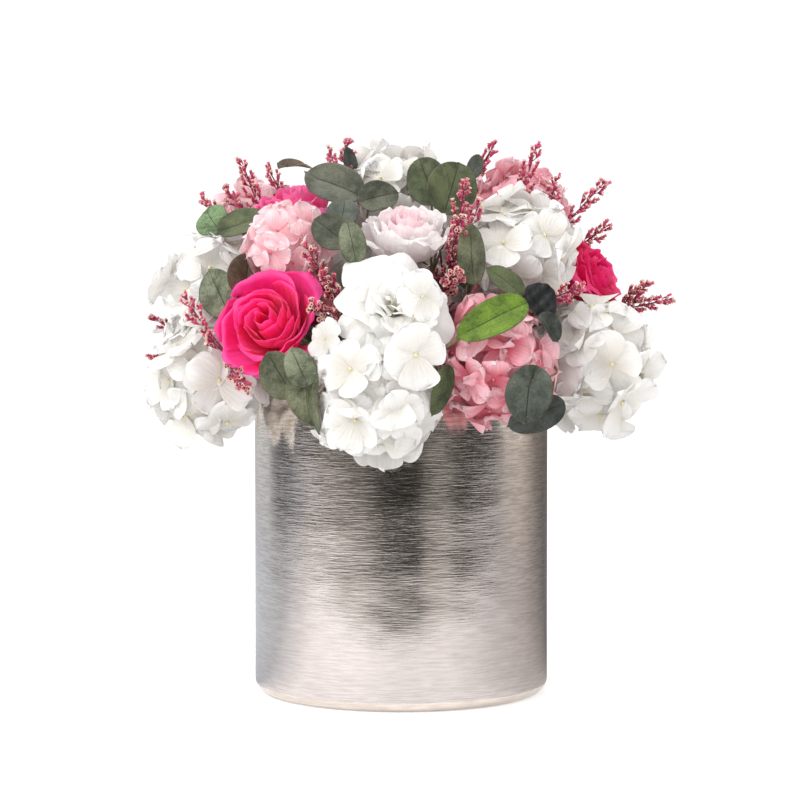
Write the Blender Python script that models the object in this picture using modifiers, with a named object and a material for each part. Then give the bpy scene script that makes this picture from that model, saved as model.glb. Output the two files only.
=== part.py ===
"""A preserved flower arrangement in a round metal vase.

Dry foam fills the vase and domes above its rim. Every bloom, leafy sprig and spray stands on its own
stem in a plain hole in the foam. The blooms press against each other, and the sprigs and sprays rise
through the valleys between them. Metres, +Z up, origin at the centre of the vase's underside.
"""

import math
from itertools import product
from typing import NamedTuple

import bmesh
import bpy
from mathutils import Matrix, Vector
from mathutils.bvhtree import BVHTree

# Vase
VASE_RADIUS = 0.080
VASE_HEIGHT = 0.165
VASE_WALL = 0.003
VASE_FLOOR = 0.004
BASE_ROUND = 0.008
RIM_ROUND = 0.001
VASE_SIDES = 34

# Foam: a cylinder inside the vase with a dome above the rim
FOAM_CLEARANCE = 0.0004
DOME_RADIUS = 0.0725
DOME_CENTRE_Z = VASE_HEIGHT
DOME_RISE = 0.043
FOAM_SIDES = 18

# Stems: all of them aim at one point inside the foam, and end short of it
FOCUS = Vector((0.0, 0.0, 0.150))
BLOOM_STEM_REACH = 0.040
TRUNK_REACH = 0.046
HYDRANGEA_STEM = 0.0019
ROSE_STEM = 0.0017
TRUNK_RADIUS = 0.0011
TWIG_RADIUS = 0.0008
SPRAY_STEM = 0.0009
SPRAY_TWIG = 0.0007
SPRAY_CLUSTERS = 2
CLUSTER_RADIUS = 0.0024
SEAT_GAP = 0.0003
RIM_CLEAR = 0.0068
LOWEST_STEM = 0.262
FORK_DEPTH = 0.0012
LEAF_LIFTS = tuple(0.0014 * i for i in range(14))
TWIG_ARCHES = (0.004, 0.009, 0.014, 0.019)
RIB_SHARES = (0.45, 0.80, 0.10)

# Petals, leaves and florets
PETAL_THICKNESS = 0.0009
LEAF_THICKNESS = 0.0009
PRESS_GAP = 0.0006
PRESS_SOFTNESS = 0.004
LEAST_FLORET = 0.64
ROSE_BASE = 0.50
CALYX_LENGTH = 0.0055
CALYX_RADIUS = 0.0070
LEAF_SIDES = 8
FLORET_SIDES = 12
FLORETS = 8
FLORETS_BACK = 6
FLORET_SIZE = 0.62
PETAL_CORNER = math.radians(23)
FACETS_KEPT = 0.69
GOLDEN_ANGLE = math.pi * (3 - math.sqrt(5))

COLOURS = {
    "vase": (0.72, 0.64, 0.59),
    "foam": (0.20, 0.26, 0.15),
    "white": (0.93, 0.92, 0.88),
    "hot_pink": (0.90, 0.03, 0.23),
    "rose_pink": (0.90, 0.22, 0.45),
    "pale_pink": (0.95, 0.72, 0.72),
    "pink": (0.90, 0.42, 0.47),
    "calyx": (0.22, 0.30, 0.12),
    "leaf": (0.16, 0.24, 0.16),
    "bright_leaf": (0.20, 0.33, 0.08),
    "dark_leaf": (0.05, 0.07, 0.06),
    "spray": (0.50, 0.07, 0.19),
}
METAL = {"vase"}


class Bloom(NamedTuple):
    """A bloom's middle and outer radius, and for a rose the way it faces."""

    name: str
    kind: str
    colour: str
    centre: tuple
    radius: float
    facing: tuple = None


BLOOMS = [
    # Front
    Bloom("rose_white_front", "rose", "white", (-0.005, -0.105, 0.206), 0.033, (0.10, -0.92, 0.38)),
    Bloom("rose_hot_pink_left", "rose", "hot_pink", (-0.067, -0.079, 0.199), 0.027, (-0.32, -0.86, 0.40)),
    Bloom("rose_pale_pink_top", "rose", "pale_pink", (0.002, -0.056, 0.245), 0.025, (0.03, -0.42, 0.91)),
    Bloom("rose_pink_upper_left", "rose", "rose_pink", (-0.057, -0.014, 0.261), 0.024, (-0.20, -0.30, 0.93)),
    Bloom("rose_hot_pink_right", "rose", "hot_pink", (0.100, -0.018, 0.226), 0.025, (0.80, -0.35, 0.48)),
    Bloom("hydrangea_white_left_upper", "hydrangea", "white", (-0.095, -0.018, 0.217), 0.034),
    Bloom("hydrangea_white_left_lower", "hydrangea", "white", (-0.098, -0.038, 0.174), 0.034),
    Bloom("hydrangea_white_front_low", "hydrangea", "white", (-0.013, -0.100, 0.166), 0.035),
    Bloom("hydrangea_white_right_upper", "hydrangea", "white", (0.062, -0.047, 0.237), 0.030),
    Bloom("hydrangea_white_right_lower", "hydrangea", "white", (0.098, -0.043, 0.181), 0.034),
    Bloom("hydrangea_white_top", "hydrangea", "white", (-0.003, 0.006, 0.266), 0.030),
    Bloom("hydrangea_pink_upper_left", "hydrangea", "pink", (-0.057, -0.052, 0.240), 0.024),
    Bloom("hydrangea_pink_right_low", "hydrangea", "pink", (0.046, -0.088, 0.181), 0.032),
    Bloom("hydrangea_pink_upper_right", "hydrangea", "pink", (0.064, 0.009, 0.259), 0.029),
    Bloom("hydrangea_pink_left_back", "hydrangea", "pink", (-0.080, 0.028, 0.252), 0.028),
    # Back
    Bloom("rose_hot_pink_back", "rose", "hot_pink", (-0.064, 0.080, 0.196), 0.028, (-0.45, 0.80, 0.40)),
    Bloom("rose_pale_pink_back", "rose", "pale_pink", (-0.002, 0.063, 0.245), 0.026, (0.05, 0.60, 0.80)),
    Bloom("hydrangea_white_back_right", "hydrangea", "white", (0.094, 0.038, 0.184), 0.036),
    Bloom("hydrangea_white_back_upper", "hydrangea", "white", (0.052, 0.058, 0.236), 0.033),
    Bloom("hydrangea_white_back_low", "hydrangea", "white", (-0.012, 0.100, 0.182), 0.036),
    Bloom("hydrangea_white_left_back", "hydrangea", "white", (-0.100, 0.030, 0.182), 0.034),
    Bloom("hydrangea_white_back_left", "hydrangea", "white", (-0.052, 0.066, 0.235), 0.031),
    Bloom("hydrangea_pink_back", "hydrangea", "pink", (0.046, 0.089, 0.182), 0.034),
]


class Leaf(NamedTuple):
    """A leaf's middle, half length and half width, the way its tip points and the way its face looks."""

    centre: tuple
    length: float
    width: float
    tip: tuple
    face: tuple


# Eucalyptus: each sprig's colour and its leaves
SPRIGS = {
    "eucalyptus_left_top": ("leaf", [
        Leaf((-0.101, -0.026, 0.256), 0.0105, 0.0095, (-0.6, 0.0, 0.7), (-0.5, -0.7, 0.5)),
        Leaf((-0.084, -0.036, 0.254), 0.0140, 0.0100, (0.9, 0.0, 0.45), (-0.1, -0.7, 0.7)),
    ]),
    "eucalyptus_left_front": ("leaf", [
        Leaf((-0.095, -0.058, 0.217), 0.0130, 0.0110, (-0.5, 0.0, 0.8), (-0.4, -0.9, 0.1)),
        Leaf((-0.080, -0.060, 0.226), 0.0115, 0.0110, (0.2, 0.0, 1.0), (0.3, -0.9, 0.2)),
    ]),
    "eucalyptus_top_left": ("leaf", [
        Leaf((-0.036, -0.032, 0.275), 0.0165, 0.0130, (-0.8, 0.0, 0.5), (0.0, -0.8, 0.6)),
        Leaf((-0.012, -0.036, 0.268), 0.0110, 0.0090, (0.8, 0.0, 0.3), (0.2, -0.9, 0.4)),
        Leaf((-0.058, -0.014, 0.283), 0.0085, 0.0060, (-0.8, 0.0, 0.4), (0.1, -0.9, 0.5)),
        Leaf((-0.028, -0.008, 0.289), 0.0075, 0.0045, (-0.2, 0.0, 1.0), (0.6, -0.8, 0.1)),
    ]),
    "eucalyptus_centre_left": ("leaf", [
        Leaf((-0.036, -0.074, 0.248), 0.0110, 0.0095, (-0.7, 0.0, 0.6), (-0.1, -0.9, 0.3)),
        Leaf((-0.025, -0.086, 0.242), 0.0110, 0.0072, (-0.2, 0.0, 1.0), (0.3, -1.0, 0.1)),
        Leaf((-0.030, -0.067, 0.258), 0.0090, 0.0085, (0.1, 0.0, 1.0), (0.0, -0.8, 0.6)),
    ]),
    "eucalyptus_top_right": ("leaf", [
        Leaf((0.014, -0.028, 0.277), 0.0150, 0.0110, (-0.4, 0.0, 0.9), (-0.3, -0.9, 0.4)),
        Leaf((0.027, -0.033, 0.273), 0.0160, 0.0135, (0.3, 0.0, 0.9), (0.2, -0.9, 0.4)),
        Leaf((0.040, -0.008, 0.286), 0.0075, 0.0045, (0.4, 0.0, 0.9), (0.3, -0.9, 0.3)),
    ]),
    "eucalyptus_centre_right": ("leaf", [
        Leaf((0.036, -0.080, 0.236), 0.0155, 0.0075, (-0.1, 0.0, 1.0), (-0.3, -0.9, 0.1)),
        Leaf((0.053, -0.092, 0.222), 0.0110, 0.0070, (-0.8, 0.0, 0.6), (0.4, -0.9, 0.5)),
    ]),
    "eucalyptus_bright": ("bright_leaf", [
        Leaf((0.045, -0.122, 0.203), 0.0190, 0.0100, (-0.9, 0.0, -0.5), (-0.1, -0.9, 0.4)),
    ]),
    "eucalyptus_front_low": ("leaf", [
        Leaf((-0.050, -0.120, 0.179), 0.0100, 0.0078, (-0.4, 0.0, 0.9), (0.2, -1.0, 0.1)),
        Leaf((-0.060, -0.111, 0.175), 0.0125, 0.0105, (-0.5, 0.0, 0.8), (-0.2, -1.0, 0.0)),
        Leaf((-0.042, -0.108, 0.164), 0.0160, 0.0130, (0.4, 0.0, -0.9), (-0.1, -1.0, -0.1)),
    ]),
    "eucalyptus_right_low": ("leaf", [
        Leaf((0.063, -0.115, 0.166), 0.0145, 0.0120, (-0.1, 0.0, -1.0), (0.0, -1.0, 0.1)),
        Leaf((0.068, -0.104, 0.155), 0.0150, 0.0090, (-0.9, 0.0, -0.4), (0.1, -1.0, -0.3)),
    ]),
    "eucalyptus_front_right": ("leaf", [
        Leaf((0.020, -0.119, 0.168), 0.0130, 0.0055, (-0.4, 0.0, -0.9), (0.5, -0.9, 0.0)),
    ]),
    "eucalyptus_right_side": ("leaf", [
        Leaf((0.126, -0.022, 0.173), 0.0130, 0.0095, (0.2, 0.0, -1.0), (0.8, -0.6, 0.1)),
        Leaf((0.118, -0.028, 0.203), 0.0095, 0.0060, (0.9, 0.0, 0.1), (0.3, -0.6, 0.8)),
    ]),
    "eucalyptus_right_dark": ("dark_leaf", [
        Leaf((0.070, -0.085, 0.212), 0.0110, 0.0095, (0.2, 0.0, 1.0), (0.2, -0.9, 0.5)),
        Leaf((0.075, -0.094, 0.199), 0.0080, 0.0060, (0.5, 0.0, -0.9), (0.3, -0.9, 0.2)),
    ]),
    "eucalyptus_back_left": ("leaf", [
        Leaf((-0.088, 0.084, 0.228), 0.0140, 0.0115, (-0.5, 0.2, 0.8), (-0.6, 0.8, 0.3)),
        Leaf((-0.058, 0.100, 0.222), 0.0130, 0.0110, (0.4, 0.1, 0.8), (-0.2, 0.9, 0.4)),
        Leaf((-0.033, 0.108, 0.214), 0.0120, 0.0090, (0.9, 0.0, 0.2), (0.0, 0.9, 0.4)),
    ]),
    "eucalyptus_back_right": ("leaf", [
        Leaf((0.024, 0.100, 0.224), 0.0150, 0.0120, (-0.4, 0.1, 0.9), (0.1, 0.9, 0.4)),
        Leaf((0.052, 0.096, 0.214), 0.0140, 0.0110, (0.8, 0.0, 0.5), (0.3, 0.9, 0.3)),
        Leaf((0.080, 0.072, 0.218), 0.0120, 0.0100, (0.7, -0.3, 0.6), (0.7, 0.7, 0.4)),
    ]),
}

# Stems that rise in another valley than the one nearest to their leaves
STEM_AIMS = {
    "eucalyptus_right_low": (0.082, -0.076, 0.182),
    "eucalyptus_bright": (0.028, -0.118, 0.180),
}

# Sea-lavender sprays: the tips that each one's branches reach
SPRAYS = {
    "spray_far_left": [(-0.134, -0.012, 0.204), (-0.133, -0.026, 0.183), (-0.119, 0.004, 0.238)],
    "spray_top_left": [
        (-0.084, 0.004, 0.290), (-0.073, 0.008, 0.286), (-0.095, 0.006, 0.275), (-0.108, 0.012, 0.270)
    ],
    "spray_top": [(-0.013, -0.016, 0.299), (-0.027, -0.018, 0.284), (-0.039, 0.012, 0.295)],
    "spray_top_back": [(0.015, 0.034, 0.293), (0.051, 0.008, 0.299)],
    "spray_top_right": [
        (0.076, -0.010, 0.293), (0.065, -0.020, 0.280), (0.101, 0.000, 0.283), (0.086, -0.004, 0.276)
    ],
    "spray_centre_right": [
        (0.033, -0.066, 0.272), (0.030, -0.084, 0.254), (0.040, -0.070, 0.262), (0.028, -0.098, 0.226)
    ],
    "spray_right": [
        (0.144, -0.020, 0.214), (0.131, -0.026, 0.222), (0.122, -0.034, 0.212), (0.112, -0.006, 0.254)
    ],
    "spray_centre_left": [(-0.048, -0.084, 0.240), (-0.038, -0.094, 0.226), (-0.044, -0.106, 0.210)],
    "spray_left_front": [(-0.112, -0.062, 0.214), (-0.098, -0.080, 0.194), (-0.078, -0.106, 0.168)],
    "spray_front_right": [(0.088, -0.086, 0.220), (0.080, -0.092, 0.208)],
    "spray_back_left": [(-0.098, 0.074, 0.250), (-0.086, 0.096, 0.236), (-0.114, 0.068, 0.222)],
    "spray_back": [(0.020, 0.098, 0.262), (0.032, 0.112, 0.244), (-0.024, 0.104, 0.254)],
    "spray_back_right": [(0.104, 0.056, 0.240), (0.118, 0.064, 0.222), (0.088, 0.082, 0.248)],
}


def clear_scene():
    for obj in list(bpy.data.objects):
        bpy.data.objects.remove(obj, do_unlink=True)


def make_collection(name):
    made = bpy.data.collections.new(name)
    bpy.context.scene.collection.children.link(made)
    return made


def material(name, colour):
    made = bpy.data.materials.new(name)
    made.use_nodes = True
    shader = made.node_tree.nodes["Principled BSDF"]
    shader.inputs["Base Color"].default_value = (*COLOURS[colour], 1.0)
    shader.inputs["Metallic"].default_value = 1.0 if colour in METAL else 0.0
    shader.inputs["Roughness"].default_value = 0.3 if colour in METAL else 0.65
    made.diffuse_color = (*COLOURS[colour], 1.0)
    return made


def object_of(bm, name, collection):
    mesh = bpy.data.meshes.new(name)
    bm.to_mesh(mesh)
    bm.free()
    made = bpy.data.objects.new(name, mesh)
    collection.objects.link(made)
    return made


def evaluated_mesh(obj):
    graph = bpy.context.evaluated_depsgraph_get()
    return bpy.data.meshes.new_from_object(obj.evaluated_get(graph))


def keep_largest_body(mesh):
    """Drops the loose scraps that a cut leaves, and keeps the body with the most corners."""
    bm = bmesh.new()
    bm.from_mesh(mesh)
    unseen = set(bm.verts)
    bodies = []
    while unseen:
        body = {unseen.pop()}
        edge = list(body)
        while edge:
            found = {e.other_vert(v) for v in edge for e in v.link_edges} & unseen
            unseen -= found
            body |= found
            edge = list(found)
        bodies.append(body)
    bodies.sort(key=len, reverse=True)
    for scrap in bodies[1:]:
        bmesh.ops.delete(bm, geom=list(scrap), context="VERTS")
    bmesh.ops.triangulate(bm, faces=bm.faces[:])
    bm.to_mesh(mesh)
    bm.free()


def boolean(obj, others, operation, own_crossings=False):
    """Applies one Boolean between obj and all the others, which are then removed."""
    operands = bpy.data.collections.new("operands")
    bpy.context.scene.collection.children.link(operands)
    for other in others:
        for home in list(other.users_collection):
            home.objects.unlink(other)
        operands.objects.link(other)
    modifier = obj.modifiers.new(operation.title(), "BOOLEAN")
    modifier.operation = operation
    modifier.operand_type = "COLLECTION"
    modifier.collection = operands
    modifier.solver = "EXACT"
    modifier.use_self = own_crossings
    mesh = evaluated_mesh(obj)
    obj.modifiers.remove(modifier)
    obj.data = mesh
    for other in others:
        bpy.data.objects.remove(other, do_unlink=True)
    bpy.data.collections.remove(operands)


def fuse(name, pieces, colour, parts, cutters=(), keep=1.0):
    """One node: the pieces joined, cut by the cutters, without loose scraps or needless small facets."""
    obj = pieces[0]
    if len(pieces) > 1:
        boolean(obj, pieces[1:], "UNION", own_crossings=True)
    if cutters:
        boolean(obj, list(cutters), "DIFFERENCE")
    keep_largest_body(obj.data)
    if keep < 1.0:
        thin_out = obj.modifiers.new("Thin out", "DECIMATE")
        thin_out.ratio = keep
        mesh = evaluated_mesh(obj)
        obj.modifiers.remove(thin_out)
        obj.data = mesh
        keep_largest_body(obj.data)
    for home in list(obj.users_collection):
        home.objects.unlink(obj)
    parts.objects.link(obj)
    obj.name = name
    obj.data.name = name
    obj.data.materials.clear()
    obj.data.materials.append(material(name, colour))
    return obj


def tube(points, radius, collection, resolution=0, swell=None):
    """A bar along the points, as a closed mesh. Swell holds a factor on the radius for each point."""
    curve = bpy.data.curves.new("tube", "CURVE")
    curve.dimensions = "3D"
    curve.bevel_depth = radius
    curve.bevel_resolution = resolution
    curve.use_fill_caps = True
    spline = curve.splines.new("POLY")
    spline.points.add(len(points) - 1)
    for i, (point, place) in enumerate(zip(spline.points, points)):
        point.co = (*place, 1.0)
        point.radius = swell[i] if swell else 1.0
    bar = bpy.data.objects.new("tube", curve)
    collection.objects.link(bar)
    bpy.context.view_layer.update()
    mesh = evaluated_mesh(bar)
    bpy.data.objects.remove(bar, do_unlink=True)
    bm = bmesh.new()
    bm.from_mesh(mesh)
    bmesh.ops.remove_doubles(bm, verts=bm.verts[:], dist=1e-7)
    bmesh.ops.recalc_face_normals(bm, faces=bm.faces[:])
    return object_of(bm, "tube", collection)


def cone(name, sides, bottom, top, depth, place, collection):
    """A closed cone between two radii, moved by the matrix."""
    bm = bmesh.new()
    bmesh.ops.create_cone(
        bm, cap_ends=True, cap_tris=False, segments=sides, radius1=bottom, radius2=top, depth=depth
    )
    bm.transform(place)
    return object_of(bm, name, collection)


def axes_to_world(origin, tip, face):
    """A matrix whose Z is the face direction, whose Y is the tip direction as nearly as it can be."""
    z = Vector(face).normalized()
    y = Vector(tip)
    y = (y - z * y.dot(z)).normalized()
    x = y.cross(z)
    turned = Matrix((x, y, z)).transposed().to_4x4()
    return Matrix.Translation(Vector(origin)) @ turned


def outward(point):
    return (Vector(point) - FOCUS).normalized()


def press_reach(bloom):
    """How strongly a bloom holds its place against a neighbour: a rose keeps its shape."""
    return bloom.radius * (1.12 if bloom.kind == "rose" else 1.0)


def foam_side_plane(bloom):
    """The plane behind a bloom that keeps it clear of the vase's rim and the foam's dome."""
    centre = Vector(bloom.centre)
    around = Vector((centre.x, centre.y, 0.0))
    around = around.normalized() if around.length > 1e-6 else Vector((1.0, 0.0, 0.0))
    best = None
    for step in range(31):
        up = math.radians(3.0 * step)
        normal = around * math.cos(up) + Vector((0.0, 0.0, math.sin(up)))
        rim = VASE_RADIUS * math.cos(up) + VASE_HEIGHT * math.sin(up)
        dome = DOME_CENTRE_Z * math.sin(up)
        dome += math.hypot(DOME_RADIUS * math.cos(up), DOME_RISE * math.sin(up))
        limit = max(rim, dome) + PRESS_GAP
        room = centre.dot(normal) - limit
        if best is None or room > best[0]:
            best = (room, normal, limit)
    return -best[1], -best[2]


def press_planes(bloom):
    """Half spaces, as a normal and a limit, that the bloom stays inside."""
    centre = Vector(bloom.centre)
    planes = [foam_side_plane(bloom)]
    for other in BLOOMS:
        between = Vector(other.centre) - centre
        apart = between.length
        if other is bloom or apart > bloom.radius + other.radius + PRESS_GAP:
            continue
        share = (apart**2 + press_reach(bloom) ** 2 - press_reach(other) ** 2) / (2 * apart)
        normal = between / apart
        planes.append((normal, normal.dot(centre) + share - PRESS_GAP / 2))
    return planes


def pressed(point, centre, planes, wall=0.0):
    """The point moved to where the neighbours leave room for it and its wall."""
    point = Vector(point)
    planes = [(normal, limit - wall) for normal, limit in planes]
    for normal, limit in planes:
        past = point.dot(normal) - limit
        if past > -PRESS_SOFTNESS:
            held = -PRESS_SOFTNESS * math.exp(-(past + PRESS_SOFTNESS) / PRESS_SOFTNESS)
            point += (held - past) * normal
    for normal, limit in planes:
        past = point.dot(normal) - limit
        if past > 0.0:
            inside = limit - centre.dot(normal)
            point = centre + (point - centre) * (inside / (inside + past)) * 0.999
    return point


def press(objects, bloom):
    centre = Vector(bloom.centre)
    planes = press_planes(bloom)
    for obj in objects:
        for vertex in obj.data.vertices:
            vertex.co = pressed(vertex.co, centre, planes)


def room_inside(obj, centre, planes):
    """The scale about the bloom's middle at which the object just stays inside all the planes."""
    scale = 1.0
    for normal, limit in planes:
        inside = limit - centre.dot(normal)
        reach = max((v.co - centre).dot(normal) for v in obj.data.vertices)
        if reach > 0.0:
            scale = min(scale, inside / reach)
    return scale


def bloom_facing(bloom):
    return Vector(bloom.facing).normalized() if bloom.facing else outward(bloom.centre)


def stem_route(start):
    """From inside the foam, over the vase's rim, to the start of the stem at the bloom."""
    start = Vector(start)
    around = Vector((start.x, start.y, 0.0))
    points = []
    entry = start
    if around.length > DOME_RADIUS:
        entry = FOCUS + (start - FOCUS) * (DOME_RADIUS / around.length)
        entry.z = max(entry.z, VASE_HEIGHT + RIM_CLEAR)
        over_rim = entry + around.normalized() * (VASE_RADIUS + VASE_WALL - DOME_RADIUS)
        points = [entry, over_rim, start]
    else:
        points = [start]
    tip = FOCUS + (entry - FOCUS).normalized() * BLOOM_STEM_REACH
    return [tip, *points]


def rose_foot(bloom):
    """Where the stem meets the calyx under a rose."""
    return Vector(bloom.centre) - bloom_facing(bloom) * (ROSE_BASE * bloom.radius + CALYX_LENGTH)


def bloom_stem(bloom):
    return stem_route(rose_foot(bloom) if bloom.kind == "rose" else bloom.centre)


def bloom_stem_radius(bloom):
    return ROSE_STEM if bloom.kind == "rose" else HYDRANGEA_STEM


def distance_to_ray(point, direction):
    across = Vector(point) - FOCUS
    along = max(across.dot(direction), 0.0)
    return (across - direction * along).length


def valley(direction, taken):
    """The direction near the given one that runs best between the blooms and clear of the stems."""

    def room(way):
        blooms = min(distance_to_ray(b.centre, way) - b.radius for b in BLOOMS)
        stems = min((way.angle(other) * TRUNK_REACH - 0.0062 for other in taken), default=1.0)
        return min(blooms, stems * 1.6, 0.004)

    way = Vector(direction).normalized()
    if way.z < LOWEST_STEM:
        level = Vector((way.x, way.y, 0.0)).normalized() * math.sqrt(1.0 - LOWEST_STEM**2)
        way = level + Vector((0.0, 0.0, LOWEST_STEM))
    best = room(way)
    for reach in (7.0, 4.0, 2.0):
        for _ in range(8):
            side = way.orthogonal().normalized()
            tries = []
            for k in range(12):
                turned = Matrix.Rotation(k * math.tau / 12, 3, way) @ side
                tries.append((way + turned * math.tan(math.radians(reach))).normalized())
            candidate = max(tries, key=room)
            if candidate.z < LOWEST_STEM or room(candidate) <= best + 1e-5:
                break
            way, best = candidate, room(candidate)
    return way


def exit_distance(direction, margin=0.0015):
    """How far from the focus a stem in this direction has left every bloom behind."""
    reach = 0.080
    for bloom in BLOOMS:
        off = distance_to_ray(bloom.centre, direction)
        if off < bloom.radius + margin:
            along = (Vector(bloom.centre) - FOCUS).dot(direction)
            reach = max(reach, along + 0.85 * math.sqrt((bloom.radius + margin) ** 2 - off**2))
    return reach


def clear_of_blooms(point, margin):
    """The point moved straight out of any bloom, or the vase, that it would be inside."""
    point = Vector(point)
    for _ in range(4):
        for bloom in BLOOMS:
            away = point - Vector(bloom.centre)
            if away.length < bloom.radius + margin:
                point = Vector(bloom.centre) + away.normalized() * (bloom.radius + margin)
        across = math.hypot(point.x, point.y)
        if across < VASE_RADIUS + margin and point.z < VASE_HEIGHT + margin:
            scale = (VASE_RADIUS + margin) / max(across, 1e-6)
            point.x *= scale
            point.y *= scale
    return point


def bend(start, end, lift, steps, margin):
    """Points of a smooth arch from start to end that stays clear of the blooms."""
    start = Vector(start)
    end = Vector(end)
    crest = (start + end) / 2 + outward((start + end) / 2) * lift
    points = [start]
    for i in range(1, steps):
        t = i / steps
        point = start * (1 - t) ** 2 + crest * 2 * t * (1 - t) + end * t**2
        points.append(clear_of_blooms(point, margin))
    points.append(end)
    return points


def tree_of(objects):
    """One search tree for the surfaces of all these objects."""
    bm = bmesh.new()
    for obj in objects:
        bm.from_mesh(obj.data)
    bmesh.ops.triangulate(bm, faces=bm.faces[:])
    tree = BVHTree.FromBMesh(bm)
    bm.free()
    return tree


def overlaps(objects, placed, own):
    """Whether the objects cross anything placed so far, other than the stem they grow from."""
    tree = tree_of(objects)
    return any(tree.overlap(other) for name, other in placed.items() if name != own)


def remove(objects):
    for obj in objects:
        bpy.data.objects.remove(obj, do_unlink=True)


def make_vase(parts):
    """A turned shell with a rounded foot and a rounded rim."""
    inner = VASE_RADIUS - VASE_WALL
    profile = [(0.0, VASE_FLOOR), (inner - 0.004, VASE_FLOOR), (inner, VASE_FLOOR + 0.004)]
    profile += [(inner, VASE_HEIGHT - RIM_ROUND), (inner + RIM_ROUND, VASE_HEIGHT)]
    profile += [(VASE_RADIUS - RIM_ROUND, VASE_HEIGHT), (VASE_RADIUS, VASE_HEIGHT - RIM_ROUND)]
    for i in range(4):
        turn = math.radians(30.0 * i)
        across = VASE_RADIUS - BASE_ROUND * (1 - math.cos(turn))
        profile.append((across, BASE_ROUND * (1 - math.sin(turn))))
    profile.append((0.0, 0.0))
    vase = turned("vase", profile, VASE_SIDES, parts)
    vase.data.materials.append(material("vase", "vase"))
    return vase


def turned(name, profile, sides, collection):
    bm = bmesh.new()
    verts = [bm.verts.new((x, 0.0, z)) for x, z in profile]
    for a, b in zip(verts, verts[1:]):
        bm.edges.new((a, b))
    obj = object_of(bm, name, collection)
    screw = obj.modifiers.new("Turn", "SCREW")
    screw.axis = "Z"
    screw.steps = sides
    screw.render_steps = sides
    screw.use_merge_vertices = True
    screw.merge_threshold = 0.0001
    return obj


def make_foam(parts, helpers, stems):
    """A block that fills the vase and domes above its rim, with a plain hole for every stem."""
    body = VASE_RADIUS - VASE_WALL - FOAM_CLEARANCE
    foot = VASE_FLOOR + FOAM_CLEARANCE
    chamfer = 0.0045
    profile = [(0.0, DOME_CENTRE_Z + DOME_RISE)]
    for i in range(1, 5):
        turn = math.radians(90.0 - 22.5 * i)
        profile.append((DOME_RADIUS * math.cos(turn), DOME_CENTRE_Z + DOME_RISE * math.sin(turn)))
    profile += [(body, DOME_CENTRE_Z - 0.010), (body, foot + chamfer), (body - chamfer, foot), (0.0, foot)]
    foam = turned("foam", profile, FOAM_SIDES, helpers)
    foam.data = evaluated_mesh(foam)
    foam.modifiers.clear()
    holes = []
    for route, radius, resolution in stems:
        inner, outer = Vector(route[0]), Vector(route[1])
        way = (outer - inner).normalized()
        start = inner - way * SEAT_GAP
        end = outer if len(route) > 2 else outer + way * 0.030
        points = [start, end, *route[2:3]]
        holes.append(tube(points, radius + SEAT_GAP, helpers, resolution))
    return fuse("foam", [foam], "foam", parts, holes)


def hydrangea_pieces(bloom, helpers):
    """A round core and four-lobed florets that stand out of it over all but its back."""
    centre = Vector(bloom.centre)
    facing = bloom_facing(bloom)
    bm = bmesh.new()
    bmesh.ops.create_icosphere(bm, subdivisions=1, radius=bloom.radius * 0.56)
    bmesh.ops.translate(bm, verts=bm.verts[:], vec=centre)
    pieces = [object_of(bm, "core", helpers)]
    press(pieces, bloom)
    frame = axes_to_world(centre, facing.orthogonal(), facing).to_3x3()
    planes = press_planes(bloom)
    count = FLORETS if bloom.centre[1] < 0.02 else FLORETS_BACK
    for i in range(count):
        height = 1.0 - 1.35 * (i + 0.30) / count
        across = math.sqrt(1.0 - height**2)
        turn = i * GOLDEN_ANGLE
        way = frame @ Vector((across * math.cos(turn), across * math.sin(turn), height))
        reach = bloom.radius * (1.0 if i % 2 == 0 else 0.90)
        made = floret(centre, way, reach, bloom.radius * FLORET_SIZE, turn * 1.7, helpers)
        scale = room_inside(made, centre, planes)
        if scale < LEAST_FLORET:
            remove([made])
            continue
        made.data.transform(Matrix.Translation(centre) @ Matrix.Scale(scale, 4) @ Matrix.Translation(-centre))
        pieces.append(made)
    return pieces


def floret(centre, way, reach, size, spin, helpers):
    """A flower face of four petals on a four-sided stalk that ends inside the core."""
    depth = reach * 0.62
    bm = bmesh.new()
    bmesh.ops.create_cone(
        bm, cap_ends=True, cap_tris=True, segments=FLORET_SIDES, radius1=0.0, radius2=size, depth=depth
    )
    bmesh.ops.remove_doubles(bm, verts=bm.verts[:], dist=1e-6)
    root = min(bm.verts, key=lambda v: v.co.z)
    for vertex in [v for v in bm.verts if v is not root]:
        if math.hypot(vertex.co.x, vertex.co.y) < 1e-6:
            vertex.co.z -= size * 0.10
            continue
        turn = math.atan2(vertex.co.y, vertex.co.x)
        petal = round(turn / (math.pi / 2) - 0.5 / 3) * (math.pi / 2) + math.radians(15)
        off = turn - petal
        if abs(off) > math.radians(30):
            reached, off, drop = 0.48, math.copysign(math.pi / 4, off), 0.33
        else:
            reached, off, drop = 1.0, math.copysign(PETAL_CORNER, off), 0.33
            stalk = next(e for e in vertex.link_edges if e.other_vert(vertex) is root)
            bmesh.utils.edge_rotate(stalk)
        wave = 0.06 * math.sin(petal + spin * 3.0)
        vertex.co.x = size * reached * math.cos(petal + off)
        vertex.co.y = size * reached * math.sin(petal + off)
        vertex.co.z -= size * (drop + wave)
    matrix = axes_to_world(centre + way * (reach - depth / 2), way.orthogonal(), way)
    bm.transform(matrix @ Matrix.Rotation(spin, 4, "Z"))
    bmesh.ops.recalc_face_normals(bm, faces=bm.faces[:])
    return object_of(bm, "floret", helpers)


class PetalRing(NamedTuple):
    """A layer of petals: how many, how far out and up they reach, their root, flare and turn."""

    count: int
    rows: int
    reach: float
    top: float
    root: float
    flare: float
    turn: float


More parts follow.
